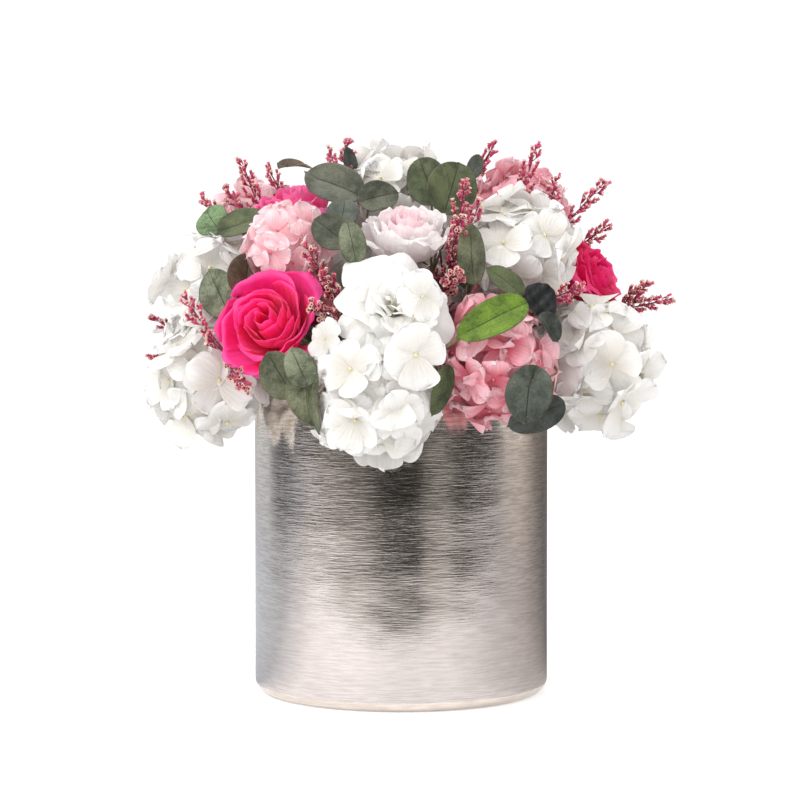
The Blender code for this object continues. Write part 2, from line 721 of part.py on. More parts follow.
ROSE_RINGS = [
    PetalRing(5, 2, 1.00, 0.22, 0.30, 0.75, 0.0),
    PetalRing(4, 1, 0.66, 0.46, 0.24, 0.25, 0.6),
    PetalRing(3, 1, 0.38, 0.58, 0.18, 0.00, 1.1),
]


def rose_ring(ring, bloom, matrix, planes, helpers):
    """A cup of petals. Each runs from inside its neighbour's edge out over the next one's."""
    radius = bloom.radius
    columns = ring.count * 3
    bm = bmesh.new()
    bmesh.ops.create_grid(bm, x_segments=columns, y_segments=ring.rows, size=1.0)
    base = -ROSE_BASE * radius * 0.86
    for vertex in bm.verts:
        column = round((vertex.co.x + 1.0) / 2.0 * columns) % columns
        petal, place = divmod(column, 3)
        u = place - 1.0
        v = (vertex.co.y + 1.0) / 2.0
        turn = ring.turn + math.tau / ring.count * (petal + u * (0.45 + 0.03 * v))
        out = ring.root + (ring.reach * 0.86 - ring.root) * math.sin(v * math.pi / 2) ** 0.8
        curl = max(0.0, v - 0.55) / 0.45
        out += 0.09 * ring.reach * u * v + ring.flare * 0.14 * curl**2
        out *= radius
        height = base + (ring.top * radius - base) * v**0.9
        height -= radius * (0.13 * u * u * v + ring.flare * 0.12 * curl**2)
        place = matrix @ Vector((out * math.cos(turn), out * math.sin(turn), height))
        vertex.co = pressed(place, Vector(bloom.centre), planes, PETAL_THICKNESS)
    bmesh.ops.remove_doubles(bm, verts=bm.verts[:], dist=1e-6)
    bmesh.ops.triangulate(bm, faces=bm.faces[:])
    bmesh.ops.recalc_face_normals(bm, faces=bm.faces[:])
    bmesh.ops.solidify(bm, geom=bm.faces[:], thickness=PETAL_THICKNESS)
    bmesh.ops.recalc_face_normals(bm, faces=bm.faces[:])
    return object_of(bm, "ring", helpers)


def rose_pieces(bloom, helpers):
    """Three layers of petals rooted in a short receptacle, round a pointed heart."""
    radius = bloom.radius
    base = ROSE_BASE * radius
    tall = radius * 0.95
    low = Matrix.Translation((0.0, 0.0, -base * 0.70))
    high = Matrix.Translation((0.0, 0.0, tall / 2 - base * 0.80))
    pieces = [
        cone("receptacle", 10, radius * 0.36, radius * 0.48, base * 0.60, low, helpers),
        cone("heart", 6, radius * 0.20, radius * 0.07, tall, high, helpers),
    ]
    facing = bloom_facing(bloom)
    matrix = axes_to_world(bloom.centre, facing.orthogonal(), facing)
    for piece in pieces:
        piece.data.transform(matrix)
    press(pieces, bloom)
    planes = press_planes(bloom)
    return pieces + [rose_ring(ring, bloom, matrix, planes, helpers) for ring in ROSE_RINGS]


def trunk_cutters(bloom, trunks, helpers):
    """Passages through a bloom's edge for the sprigs and sprays that rise beside it."""
    cutters = []
    for route, radius in trunks.values():
        way = (route[-1] - route[0]).normalized()
        if distance_to_ray(bloom.centre, way) < bloom.radius + radius:
            end = route[-1] + way * 0.050
            cutters.append(tube([route[0], end], radius + 2 * SEAT_GAP, helpers))
    return cutters


def make_blooms(parts, helpers, trunks):
    made = []
    for bloom in BLOOMS:
        if bloom.kind == "rose":
            pieces = rose_pieces(bloom, helpers)
        else:
            pieces = hydrangea_pieces(bloom, helpers)
            pieces.append(tube(bloom_stem(bloom), HYDRANGEA_STEM, helpers))
        cutters = trunk_cutters(bloom, trunks, helpers)
        made.append(fuse(bloom.name, pieces, bloom.colour, parts, cutters, FACETS_KEPT))
    return made


def make_calyxes(parts, helpers):
    """Under each rose, a green cup and its stem."""
    made = []
    for bloom in BLOOMS:
        if bloom.kind != "rose":
            continue
        length = CALYX_LENGTH + 0.001
        facing = bloom_facing(bloom)
        middle_of_cup = Vector(bloom.centre) - facing * (ROSE_BASE * bloom.radius + SEAT_GAP + length / 2)
        place = axes_to_world(middle_of_cup, facing.orthogonal(), facing)
        cup = cone("cup", 8, ROSE_STEM * 1.2, CALYX_RADIUS, length, place, helpers)
        stem = tube(bloom_stem(bloom), ROSE_STEM, helpers, 1)
        made.append(fuse(bloom.name.replace("rose", "calyx", 1), [cup, stem], "calyx", parts))
    return made


def leaf_blade(leaf, centre, share, grow, helpers):
    """A rounded blade with a slightly pointed tip, folded along its rib and bent over what it lies on.

    Also gives the point where its twig ends, at that share of the rib from the middle to the foot.
    """
    bm = bmesh.new()
    bmesh.ops.create_circle(bm, cap_ends=True, cap_tris=True, segments=LEAF_SIDES, radius=1.0)
    matrix = axes_to_world(centre, leaf.tip, leaf.face)
    hub = min(bm.verts, key=lambda vertex: vertex.co.length)
    foot = min(bm.verts, key=lambda vertex: vertex.co.y)
    for vertex in bm.verts:
        x, y = vertex.co.x, vertex.co.y
        rim = math.hypot(x, y) > 0.5
        point = 0.10 * max(0.0, y) ** 6 if rim else 0.0
        shape = Vector((x * leaf.width * (1.0 - 0.10 * y), (y + point) * leaf.length, 0.0))
        shape.z = leaf.width * (0.16 * abs(x) - 0.10 * y * y)
        vertex.co = clear_of_blooms(matrix @ shape, LEAF_THICKNESS + 0.0006)
    bmesh.ops.recalc_face_normals(bm, faces=bm.faces[:])
    root = hub.co.lerp(foot.co, share) - middle([v.co for v in bm.verts])
    bmesh.ops.solidify(bm, geom=bm.faces[:], thickness=LEAF_THICKNESS + 2 * grow)
    bmesh.ops.recalc_face_normals(bm, faces=bm.faces[:])
    root += middle([v.co for v in bm.verts])
    return object_of(bm, "blade", helpers), root


def leaf_pieces(leaf, start, lift, arch, share, grow, helpers):
    """A leaf and its twig from the sprig's fork. The leaf moves out by the lift, the twig by the arch."""
    centre = Vector(leaf.centre) + outward(leaf.centre) * lift
    blade, root = leaf_blade(leaf, centre, share, grow, helpers)
    steps = 2 if (root - start).length < 0.020 else 4
    twig = tube(bend(start, root, arch, steps, TWIG_RADIUS + 0.0006), TWIG_RADIUS + grow, helpers)
    return [blade, twig]


def make_sprigs(parts, helpers, trunks, placed):
    made = []
    for name, (colour, leaves) in SPRIGS.items():
        route, radius = trunks[name]
        pieces = [tube(route, radius, helpers, 0)]
        fork = route[-1] + (route[0] - route[-1]).normalized() * FORK_DEPTH
        for leaf in leaves:
            for way in product(LEAF_LIFTS, TWIG_ARCHES, RIB_SHARES):
                trial = leaf_pieces(leaf, fork, *way, 2 * SEAT_GAP, helpers)
                blocked = overlaps(trial, placed, name)
                remove(trial)
                if not blocked:
                    break
            if blocked:
                print("no room for a leaf of", name)
                continue
            pieces += leaf_pieces(leaf, fork, *way, 0.0, helpers)
        made.append(fuse(name, pieces, colour, parts))
        placed[name] = tree_of([made[-1]])
    return made


def spray_branch(start, tip, grow, helpers):
    """A thin arching branch whose upper part swells into clusters of flowers on alternate sides."""
    arch = bend(start, tip, 0.003, 3, SPRAY_TWIG + 0.0012)
    last = arch[-1] - arch[-2]
    side = last.orthogonal().normalized()
    route = [arch[0], arch[1]]
    swell = [1.0, 1.0]
    for i in range(SPRAY_CLUSTERS * 2 - 1):
        t = 1.0 + 1.94 * i / (SPRAY_CLUSTERS * 2 - 2)
        segment = min(int(t), 2)
        at = arch[segment].lerp(arch[segment + 1], t - segment)
        thick = i % 2 == 0
        if i:
            sway = 1.0 if i % 4 == 0 else -1.0
            route.append(at + side * (0.0011 * sway if thick else 0.0))
            swell.append((CLUSTER_RADIUS if thick else 0.0007) / SPRAY_TWIG)
    route.append(arch[-1] + last.normalized() * 0.0012)
    swell.append(0.9)
    swell = [factor + grow / SPRAY_TWIG for factor in swell]
    return [tube(route, SPRAY_TWIG, helpers, 0, swell)]


def make_sprays(parts, helpers, trunks, placed):
    made = []
    for name, tips in SPRAYS.items():
        route, radius = trunks[name]
        pieces = [tube(route, radius, helpers, 0)]
        fork = route[-1] + (route[0] - route[-1]).normalized() * FORK_DEPTH
        for tip in tips:
            for attempt in range(20):
                side = outward(tip).orthogonal().normalized()
                turned_side = Matrix.Rotation(attempt * GOLDEN_ANGLE, 3, outward(tip)) @ side
                goal = Vector(tip) + turned_side * 0.0012 * attempt
                goal = clear_of_blooms(goal, 0.003)
                trial = spray_branch(fork, goal, 2 * SEAT_GAP, helpers)
                blocked = overlaps(trial, placed, name)
                remove(trial)
                if not blocked:
                    break
            if blocked:
                print("no room for a branch of", name)
                continue
            pieces += spray_branch(fork, goal, 0.0, helpers)
        made.append(fuse(name, pieces, "spray", parts))
        placed[name] = tree_of([made[-1]])
    return made


def middle(points):
    return sum((Vector(p) for p in points), Vector()) / len(points)


def plan_trunks():
    """Every sprig's and spray's straight stem, from the foam up a valley to where it forks."""
    taken = []
    for bloom in BLOOMS:
        route = bloom_stem(bloom)
        taken.append((route[0] - FOCUS).normalized())
    wanted = {name: middle([leaf.centre for leaf in leaves]) for name, (_, leaves) in SPRIGS.items()}
    wanted.update({name: middle(tips) for name, tips in SPRAYS.items()})
    wanted.update({name: Vector(aim) for name, aim in STEM_AIMS.items()})
    trunks = {}
    for name, goal in wanted.items():
        way = valley(outward(goal), taken)
        taken.append(way)
        radius = TRUNK_RADIUS if name in SPRIGS else SPRAY_STEM
        end = FOCUS + way * exit_distance(way)
        trunks[name] = ([FOCUS + way * TRUNK_REACH, end], radius)
    return trunks


def main():
    clear_scene()
    parts = make_collection("flower_arrangement")
    helpers = make_collection("helpers")
    trunks = plan_trunks()
    make_vase(parts)
    stems = [(bloom_stem(b), bloom_stem_radius(b), int(b.kind == "rose")) for b in BLOOMS]
    stems += [(route, radius, 0) for route, radius in trunks.values()]
    foam = make_foam(parts, helpers, stems)
    blooms = make_blooms(parts, helpers, trunks)
    calyxes = make_calyxes(parts, helpers)
    vase = parts.objects["vase"]
    vase_shape = bpy.data.objects.new("vase_shape", evaluated_mesh(vase))
    placed = {obj.name: tree_of([obj]) for obj in (vase_shape, foam, *blooms, *calyxes)}
    bpy.data.objects.remove(vase_shape, do_unlink=True)
    for name, (route, radius) in trunks.items():
        trunk = tube(route, radius + SEAT_GAP, helpers)
        placed[name] = tree_of([trunk])
        remove([trunk])
    make_sprigs(parts, helpers, trunks, placed)
    make_sprays(parts, helpers, trunks, placed)
    bpy.data.collections.remove(helpers)


main()
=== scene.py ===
"""The preserved flower arrangement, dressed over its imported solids.

Every petal, leaf, floret and twig is a fine sheet or bar, in the place that its solid holds. The layout
and the rules for stems and neighbours repeat the CAD source. Metres, +Z up.
"""

import math
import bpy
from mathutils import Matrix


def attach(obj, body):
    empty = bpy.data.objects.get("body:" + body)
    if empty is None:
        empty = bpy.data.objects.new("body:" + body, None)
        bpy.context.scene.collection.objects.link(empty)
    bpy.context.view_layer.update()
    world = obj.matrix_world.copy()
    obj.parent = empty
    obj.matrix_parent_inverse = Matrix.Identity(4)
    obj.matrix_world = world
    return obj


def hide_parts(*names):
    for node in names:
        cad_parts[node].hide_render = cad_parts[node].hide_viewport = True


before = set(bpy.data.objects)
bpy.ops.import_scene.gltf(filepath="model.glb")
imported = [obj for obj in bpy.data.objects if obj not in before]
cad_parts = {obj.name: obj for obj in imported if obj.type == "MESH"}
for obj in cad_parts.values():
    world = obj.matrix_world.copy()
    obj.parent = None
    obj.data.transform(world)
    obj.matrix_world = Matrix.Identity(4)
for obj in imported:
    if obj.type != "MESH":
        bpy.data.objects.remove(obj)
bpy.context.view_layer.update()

import zlib
from typing import NamedTuple

import bpy
import numpy as np
from mathutils import Matrix, Vector

# Layout and rules shared with the CAD source
VASE_RADIUS = 0.080
VASE_HEIGHT = 0.165
VASE_WALL = 0.003
VASE_FLOOR = 0.004
BASE_ROUND = 0.008
RIM_ROUND = 0.001
DOME_RADIUS = 0.0725
DOME_CENTRE_Z = VASE_HEIGHT
DOME_RISE = 0.043
FOCUS = Vector((0.0, 0.0, 0.150))
BLOOM_STEM_REACH = 0.040
TRUNK_REACH = 0.046
HYDRANGEA_STEM = 0.0019
ROSE_STEM = 0.0017
TRUNK_RADIUS = 0.0011
TWIG_RADIUS = 0.0008
SPRAY_STEM = 0.0009
SPRAY_TWIG = 0.0007
SEAT_GAP = 0.0003
RIM_CLEAR = 0.0068
LOWEST_STEM = 0.262
FORK_DEPTH = 0.0012
LEAF_CLEAR = 0.0006
SHORT_TWIG = 0.020
STEM_SPACE = 0.0062
STEM_START = 0.080
VALLEY_ROOM = 0.004
BRANCH_LIFT = 0.003
BRANCH_STEP = 0.0012
LEAF_LIFTS = tuple(0.0014 * i for i in range(14))
TWIG_ARCHES = (0.004, 0.009, 0.014, 0.019)
RIB_SHARES = (0.45, 0.80, 0.10)
LEAF_THICKNESS = 0.0009
LEAF_SIDES = 8
PRESS_GAP = 0.0006
PRESS_SOFTNESS = 0.004
ROSE_PRESS = 1.12
ROSE_BASE = 0.50
CALYX_LENGTH = 0.0055
GOLDEN_ANGLE = math.pi * (3 - math.sqrt(5))

# How far petals lap over their neighbours' edges, and how thick a stem is beside the solid's
PETAL_LAP = 0.0018
STEM_SHARE = 0.96


class Bloom(NamedTuple):
    """A bloom's colour, middle and outer radius, and for a rose the way it faces."""

    name: str
    colour: str
    centre: tuple
    radius: float
    facing: tuple = None

    @property
    def kind(self):
        return self.name.split("_")[0]


BLOOMS = [
    Bloom("rose_white_front", "white", (-0.005, -0.105, 0.206), 0.033, (0.10, -0.92, 0.38)),
    Bloom("rose_hot_pink_left", "hot_pink", (-0.067, -0.079, 0.199), 0.027, (-0.32, -0.86, 0.40)),
    Bloom("rose_pale_pink_top", "pale_pink", (0.002, -0.056, 0.245), 0.025, (0.03, -0.42, 0.91)),
    Bloom("rose_pink_upper_left", "rose_pink", (-0.057, -0.014, 0.261), 0.024, (-0.20, -0.30, 0.93)),
    Bloom("rose_hot_pink_right", "hot_pink", (0.100, -0.018, 0.226), 0.025, (0.80, -0.35, 0.48)),
    Bloom("hydrangea_white_left_upper", "white", (-0.095, -0.018, 0.217), 0.034),
    Bloom("hydrangea_white_left_lower", "white", (-0.098, -0.038, 0.174), 0.034),
    Bloom("hydrangea_white_front_low", "white", (-0.013, -0.100, 0.166), 0.035),
    Bloom("hydrangea_white_right_upper", "white", (0.062, -0.047, 0.237), 0.030),
    Bloom("hydrangea_white_right_lower", "white", (0.098, -0.043, 0.181), 0.034),
    Bloom("hydrangea_white_top", "white", (-0.003, 0.006, 0.266), 0.030),
    Bloom("hydrangea_pink_upper_left", "pink", (-0.057, -0.052, 0.240), 0.024),
    Bloom("hydrangea_pink_right_low", "pink", (0.046, -0.088, 0.181), 0.032),
    Bloom("hydrangea_pink_upper_right", "pink", (0.064, 0.009, 0.259), 0.029),
    Bloom("hydrangea_pink_left_back", "pink", (-0.080, 0.028, 0.252), 0.028),
    Bloom("rose_hot_pink_back", "hot_pink", (-0.064, 0.080, 0.196), 0.028, (-0.45, 0.80, 0.40)),
    Bloom("rose_pale_pink_back", "pale_pink", (-0.002, 0.063, 0.245), 0.026, (0.05, 0.60, 0.80)),
    Bloom("hydrangea_white_back_right", "white", (0.094, 0.038, 0.184), 0.036),
    Bloom("hydrangea_white_back_upper", "white", (0.052, 0.058, 0.236), 0.033),
    Bloom("hydrangea_white_back_low", "white", (-0.012, 0.100, 0.182), 0.036),
    Bloom("hydrangea_white_left_back", "white", (-0.100, 0.030, 0.182), 0.034),
    Bloom("hydrangea_white_back_left", "white", (-0.052, 0.066, 0.235), 0.031),
    Bloom("hydrangea_pink_back", "pink", (0.046, 0.089, 0.182), 0.034),
]


class Leaf(NamedTuple):
    """A leaf's middle, half length and half width, its tip's and its face's direction, and its colour."""

    centre: tuple
    length: float
    width: float
    tip: tuple
    face: tuple
    tone: str = "grey_green"


TONES = {
    "grey_green": (0.135, 0.145, 0.085),
    "light_green": (0.175, 0.265, 0.130),
    "pale_green": (0.190, 0.215, 0.140),
    "dark_grey": (0.092, 0.100, 0.070),
    "blue_grey": (0.085, 0.100, 0.080),
    "olive": (0.080, 0.100, 0.042),
    "brown": (0.135, 0.092, 0.060),
    "bright": (0.115, 0.200, 0.014),
    "black": (0.012, 0.014, 0.017),
    "slate": (0.055, 0.062, 0.054),
}

SPRIGS = {
    "eucalyptus_left_top": [
        Leaf((-0.101, -0.026, 0.256), 0.0105, 0.0095, (-0.6, 0.0, 0.7), (-0.5, -0.7, 0.5), "light_green"),
        Leaf((-0.084, -0.036, 0.254), 0.0140, 0.0100, (0.9, 0.0, 0.45), (-0.1, -0.7, 0.7), "olive"),
    ],
    "eucalyptus_left_front": [
        Leaf((-0.095, -0.058, 0.217), 0.0130, 0.0110, (-0.5, 0.0, 0.8), (-0.4, -0.9, 0.1), "pale_green"),
        Leaf((-0.080, -0.060, 0.226), 0.0115, 0.0110, (0.2, 0.0, 1.0), (0.3, -0.9, 0.2), "brown"),
    ],
    "eucalyptus_top_left": [
        Leaf((-0.036, -0.032, 0.275), 0.0165, 0.0130, (-0.8, 0.0, 0.5), (0.0, -0.8, 0.6), "dark_grey"),
        Leaf((-0.012, -0.036, 0.268), 0.0110, 0.0090, (0.8, 0.0, 0.3), (0.2, -0.9, 0.4), "dark_grey"),
        Leaf((-0.058, -0.014, 0.283), 0.0085, 0.0060, (-0.8, 0.0, 0.4), (0.1, -0.9, 0.5), "brown"),
        Leaf((-0.028, -0.008, 0.289), 0.0075, 0.0045, (-0.2, 0.0, 1.0), (0.6, -0.8, 0.1), "slate"),
    ],
    "eucalyptus_centre_left": [
        Leaf((-0.036, -0.074, 0.248), 0.0110, 0.0095, (-0.7, 0.0, 0.6), (-0.1, -0.9, 0.3), "dark_grey"),
        Leaf((-0.025, -0.086, 0.242), 0.0110, 0.0072, (-0.2, 0.0, 1.0), (0.3, -1.0, 0.1), "pale_green"),
        Leaf((-0.030, -0.067, 0.258), 0.0090, 0.0085, (0.1, 0.0, 1.0), (0.0, -0.8, 0.6), "blue_grey"),
    ],
    "eucalyptus_top_right": [
        Leaf((0.014, -0.028, 0.277), 0.0150, 0.0110, (-0.4, 0.0, 0.9), (-0.3, -0.9, 0.4), "olive"),
        Leaf((0.027, -0.033, 0.273), 0.0160, 0.0135, (0.3, 0.0, 0.9), (0.2, -0.9, 0.4), "olive"),
        Leaf((0.040, -0.008, 0.286), 0.0075, 0.0045, (0.4, 0.0, 0.9), (0.3, -0.9, 0.3), "blue_grey"),
    ],
    "eucalyptus_centre_right": [
        Leaf((0.036, -0.080, 0.236), 0.0155, 0.0075, (-0.1, 0.0, 1.0), (-0.3, -0.9, 0.1), "grey_green"),
        Leaf((0.053, -0.092, 0.222), 0.0110, 0.0070, (-0.8, 0.0, 0.6), (0.4, -0.9, 0.5), "olive"),
    ],
    "eucalyptus_bright": [
        Leaf((0.045, -0.122, 0.203), 0.0190, 0.0100, (-0.9, 0.0, -0.5), (-0.1, -0.9, 0.4), "bright"),
    ],
    "eucalyptus_front_low": [
        Leaf((-0.050, -0.120, 0.179), 0.0100, 0.0078, (-0.4, 0.0, 0.9), (0.2, -1.0, 0.1), "pale_green"),
        Leaf((-0.060, -0.111, 0.175), 0.0125, 0.0105, (-0.5, 0.0, 0.8), (-0.2, -1.0, 0.0), "grey_green"),
        Leaf((-0.042, -0.108, 0.164), 0.0160, 0.0130, (0.4, 0.0, -0.9), (-0.1, -1.0, -0.1), "grey_green"),
    ],
    "eucalyptus_right_low": [
        Leaf((0.063, -0.115, 0.166), 0.0145, 0.0120, (-0.1, 0.0, -1.0), (0.0, -1.0, 0.1), "blue_grey"),
        Leaf((0.068, -0.104, 0.155), 0.0150, 0.0090, (-0.9, 0.0, -0.4), (0.1, -1.0, -0.3), "slate"),
    ],
    "eucalyptus_front_right": [
        Leaf((0.020, -0.119, 0.168), 0.0130, 0.0055, (-0.4, 0.0, -0.9), (0.5, -0.9, 0.0), "olive"),
    ],
    "eucalyptus_right_side": [
        Leaf((0.126, -0.022, 0.173), 0.0130, 0.0095, (0.2, 0.0, -1.0), (0.8, -0.6, 0.1), "olive"),
        Leaf((0.118, -0.028, 0.203), 0.0095, 0.0060, (0.9, 0.0, 0.1), (0.3, -0.6, 0.8), "slate"),
    ],
    "eucalyptus_right_dark": [
        Leaf((0.070, -0.085, 0.212), 0.0110, 0.0095, (0.2, 0.0, 1.0), (0.2, -0.9, 0.5), "black"),
        Leaf((0.075, -0.094, 0.199), 0.0080, 0.0060, (0.5, 0.0, -0.9), (0.3, -0.9, 0.2), "slate"),
    ],
    "eucalyptus_back_left": [
        Leaf((-0.088, 0.084, 0.228), 0.0140, 0.0115, (-0.5, 0.2, 0.8), (-0.6, 0.8, 0.3), "grey_green"),
        Leaf((-0.058, 0.100, 0.222), 0.0130, 0.0110, (0.4, 0.1, 0.8), (-0.2, 0.9, 0.4), "pale_green"),
        Leaf((-0.033, 0.108, 0.214), 0.0120, 0.0090, (0.9, 0.0, 0.2), (0.0, 0.9, 0.4), "dark_grey"),
    ],
    "eucalyptus_back_right": [
        Leaf((0.024, 0.100, 0.224), 0.0150, 0.0120, (-0.4, 0.1, 0.9), (0.1, 0.9, 0.4), "grey_green"),
        Leaf((0.052, 0.096, 0.214), 0.0140, 0.0110, (0.8, 0.0, 0.5), (0.3, 0.9, 0.3), "olive"),
        Leaf((0.080, 0.072, 0.218), 0.0120, 0.0100, (0.7, -0.3, 0.6), (0.7, 0.7, 0.4), "grey_green"),
    ],
}

STEM_AIMS = {
    "eucalyptus_right_low": (0.082, -0.076, 0.182),
    "eucalyptus_bright": (0.028, -0.118, 0.180),
}

SPRAYS = {
    "spray_far_left": [(-0.134, -0.012, 0.204), (-0.133, -0.026, 0.183), (-0.119, 0.004, 0.238)],
    "spray_top_left": [
        (-0.084, 0.004, 0.290), (-0.073, 0.008, 0.286), (-0.095, 0.006, 0.275), (-0.108, 0.012, 0.270)
    ],
    "spray_top": [(-0.013, -0.016, 0.299), (-0.027, -0.018, 0.284), (-0.039, 0.012, 0.295)],
    "spray_top_back": [(0.015, 0.034, 0.293), (0.051, 0.008, 0.299)],
    "spray_top_right": [
        (0.076, -0.010, 0.293), (0.065, -0.020, 0.280), (0.101, 0.000, 0.283), (0.086, -0.004, 0.276)
    ],
    "spray_centre_right": [
        (0.033, -0.066, 0.272), (0.030, -0.084, 0.254), (0.040, -0.070, 0.262), (0.028, -0.098, 0.226)
    ],
    "spray_right": [
        (0.144, -0.020, 0.214), (0.131, -0.026, 0.222), (0.122, -0.034, 0.212), (0.112, -0.006, 0.254)
    ],
    "spray_centre_left": [(-0.048, -0.084, 0.240), (-0.038, -0.094, 0.226), (-0.044, -0.106, 0.210)],
    "spray_left_front": [(-0.112, -0.062, 0.214), (-0.098, -0.080, 0.194), (-0.078, -0.106, 0.168)],
    "spray_front_right": [(0.088, -0.086, 0.220), (0.080, -0.092, 0.208)],
    "spray_back_left": [(-0.098, 0.074, 0.250), (-0.086, 0.096, 0.236), (-0.114, 0.068, 0.222)],
    "spray_back": [(0.020, 0.098, 0.262), (0.032, 0.112, 0.244), (-0.024, 0.104, 0.254)],
    "spray_back_right": [(0.104, 0.056, 0.240), (0.118, 0.064, 0.222), (0.088, 0.082, 0.248)],
}


def outward(point):
    return (Vector(point) - FOCUS).normalized()


def press_reach(bloom):
    return bloom.radius * (ROSE_PRESS if bloom.kind == "rose" else 1.0)


def foam_side_plane(bloom):
    """The plane behind a bloom that keeps it clear of the vase's rim and the foam's dome."""
    centre = Vector(bloom.centre)
    around = Vector((centre.x, centre.y, 0.0))
    around = around.normalized() if around.length > 1e-6 else Vector((1.0, 0.0, 0.0))
    best = None
    for step in range(31):
        up = math.radians(3.0 * step)
        normal = around * math.cos(up) + Vector((0.0, 0.0, math.sin(up)))
        rim = VASE_RADIUS * math.cos(up) + VASE_HEIGHT * math.sin(up)
        dome = DOME_CENTRE_Z * math.sin(up)
        dome += math.hypot(DOME_RADIUS * math.cos(up), DOME_RISE * math.sin(up))
        limit = max(rim, dome) + PRESS_GAP
        room = centre.dot(normal) - limit
        if best is None or room > best[0]:
            best = (room, normal, limit)
    return np.array(-best[1]), -best[2]


def press_planes(bloom):
    """Half spaces, as a normal and a limit, that the bloom stays inside."""
    centre = Vector(bloom.centre)
    planes = [foam_side_plane(bloom)]
    for other in BLOOMS:
        between = Vector(other.centre) - centre
        apart = between.length
        if other is bloom or apart > bloom.radius + other.radius + PRESS_GAP:
            continue
        share = (apart**2 + press_reach(bloom) ** 2 - press_reach(other) ** 2) / (2 * apart)
        normal = between / apart
        planes.append((np.array(normal), normal.dot(centre) + share - PRESS_GAP / 2))
    return planes


def soft_planes(bloom):
    """The planes with a little more room, for petals that lap over their neighbours' edges."""
    foam, *others = press_planes(bloom)
    return [foam] + [(normal, limit + PETAL_LAP) for normal, limit in others]


# How far petals keep behind a leaf, how deep they are looked for, how far beyond the leaf's edge, and
# how far a petal's middle may be from a leaf that still moves it
LEAF_ROOM = 0.0013
LEAF_DEPTH = 0.008
LEAF_MARGIN = 0.004
PETAL_SIZE = 0.022
LEAF_SKINS = []


def leaf_skins():
    """Each leaf's middle, axes and length, and a few points of its face."""
    skins = []
    for name, leaves in SPRIGS.items():
        corners = node_corners(name)
        for leaf in leaves:
            centre = leaf_middle(leaf, corners)
            if centre is None:
                continue
            face = []
            for y in np.linspace(-1, 1, 9):
                for x in np.linspace(-1, 1, 5) * math.sqrt(max(0.0, 1.0 - y * y)):
                    face.append(tuple(leaf_point(leaf, centre, x, y)))
            centre, turned = np.array(centre), axes(leaf.tip, leaf.face)
            skins.append((centre, turned, leaf.length, (np.array(face) - centre) @ turned))
    return skins


def behind_leaves(points):
    """The points moved back to where no leaf lies in front of them."""
    middle_point = points.mean(axis=0)
    for centre, turned, length, skin in LEAF_SKINS:
        if np.linalg.norm(middle_point - centre) > length + PETAL_SIZE:
            continue
        local = (points - centre) @ turned
        gaps = np.sum((local[:, None, :2] - skin[None, :, :2]) ** 2, axis=2)
        nearest = gaps.argmin(axis=1)
        share = np.clip(1.6 - np.sqrt(gaps.min(axis=1)) / LEAF_MARGIN, 0, 1)
        past = local[:, 2] - (skin[nearest, 2] - LEAF_ROOM)
        past[(past < 0) | (past > LEAF_DEPTH)] = 0.0
        points = points - (past * share)[:, None] * turned[:, 2]
    return points


def pressed(points, centre, planes):
    """The points moved to where the neighbours and the leaves leave room for them."""
    shape = points.shape
    points = points.reshape(-1, 3).copy()
    for normal, limit in planes:
        past = points @ normal - limit
        near = past > -PRESS_SOFTNESS
        held = -PRESS_SOFTNESS * np.exp(-(past[near] + PRESS_SOFTNESS) / PRESS_SOFTNESS)
        points[near] += (held - past[near])[:, None] * normal
    for normal, limit in planes:
        past = points @ normal - limit
        over = past > 0.0
        inside = limit - centre @ normal
        share = inside / (inside + past[over]) * 0.999
        points[over] = centre + (points[over] - centre) * share[:, None]
    return behind_leaves(points).reshape(shape)


def bloom_facing(bloom):
    return Vector(bloom.facing).normalized() if bloom.facing else outward(bloom.centre)


def stem_route(start):
    """From inside the foam, over the vase's rim, to the start of the stem at the bloom."""
    start = Vector(start)
    around = Vector((start.x, start.y, 0.0))
    entry = start
    points = [start]
    if around.length > DOME_RADIUS:
        entry = FOCUS + (start - FOCUS) * (DOME_RADIUS / around.length)
        entry.z = max(entry.z, VASE_HEIGHT + RIM_CLEAR)
        over_rim = entry + around.normalized() * (VASE_RADIUS + VASE_WALL - DOME_RADIUS)
        points = [entry, over_rim, start]
    tip = FOCUS + (entry - FOCUS).normalized() * BLOOM_STEM_REACH
    return [tip, *points]


def rose_foot(bloom):
    return Vector(bloom.centre) - bloom_facing(bloom) * (ROSE_BASE * bloom.radius + CALYX_LENGTH)


def bloom_stem(bloom):
    return stem_route(rose_foot(bloom) if bloom.kind == "rose" else bloom.centre)


def distance_to_ray(point, direction):
    across = Vector(point) - FOCUS
    along = max(across.dot(direction), 0.0)
    return (across - direction * along).length


def valley(direction, taken):
    """The direction near the given one that runs best between the blooms and clear of the stems."""

    def room(way):
        blooms = min(distance_to_ray(b.centre, way) - b.radius for b in BLOOMS)
        stems = min((way.angle(other) * TRUNK_REACH - STEM_SPACE for other in taken), default=1.0)
        return min(blooms, stems * 1.6, VALLEY_ROOM)

    way = Vector(direction).normalized()
    if way.z < LOWEST_STEM:
        level = Vector((way.x, way.y, 0.0)).normalized() * math.sqrt(1.0 - LOWEST_STEM**2)
        way = level + Vector((0.0, 0.0, LOWEST_STEM))
    best = room(way)
    for reach in (7.0, 4.0, 2.0):
        for _ in range(8):
            side = way.orthogonal().normalized()
            tries = []
            for k in range(12):
                turned = Matrix.Rotation(k * math.tau / 12, 3, way) @ side
                tries.append((way + turned * math.tan(math.radians(reach))).normalized())
            candidate = max(tries, key=room)
            if candidate.z < LOWEST_STEM or room(candidate) <= best + 1e-5:
                break
            way, best = candidate, room(candidate)
    return way


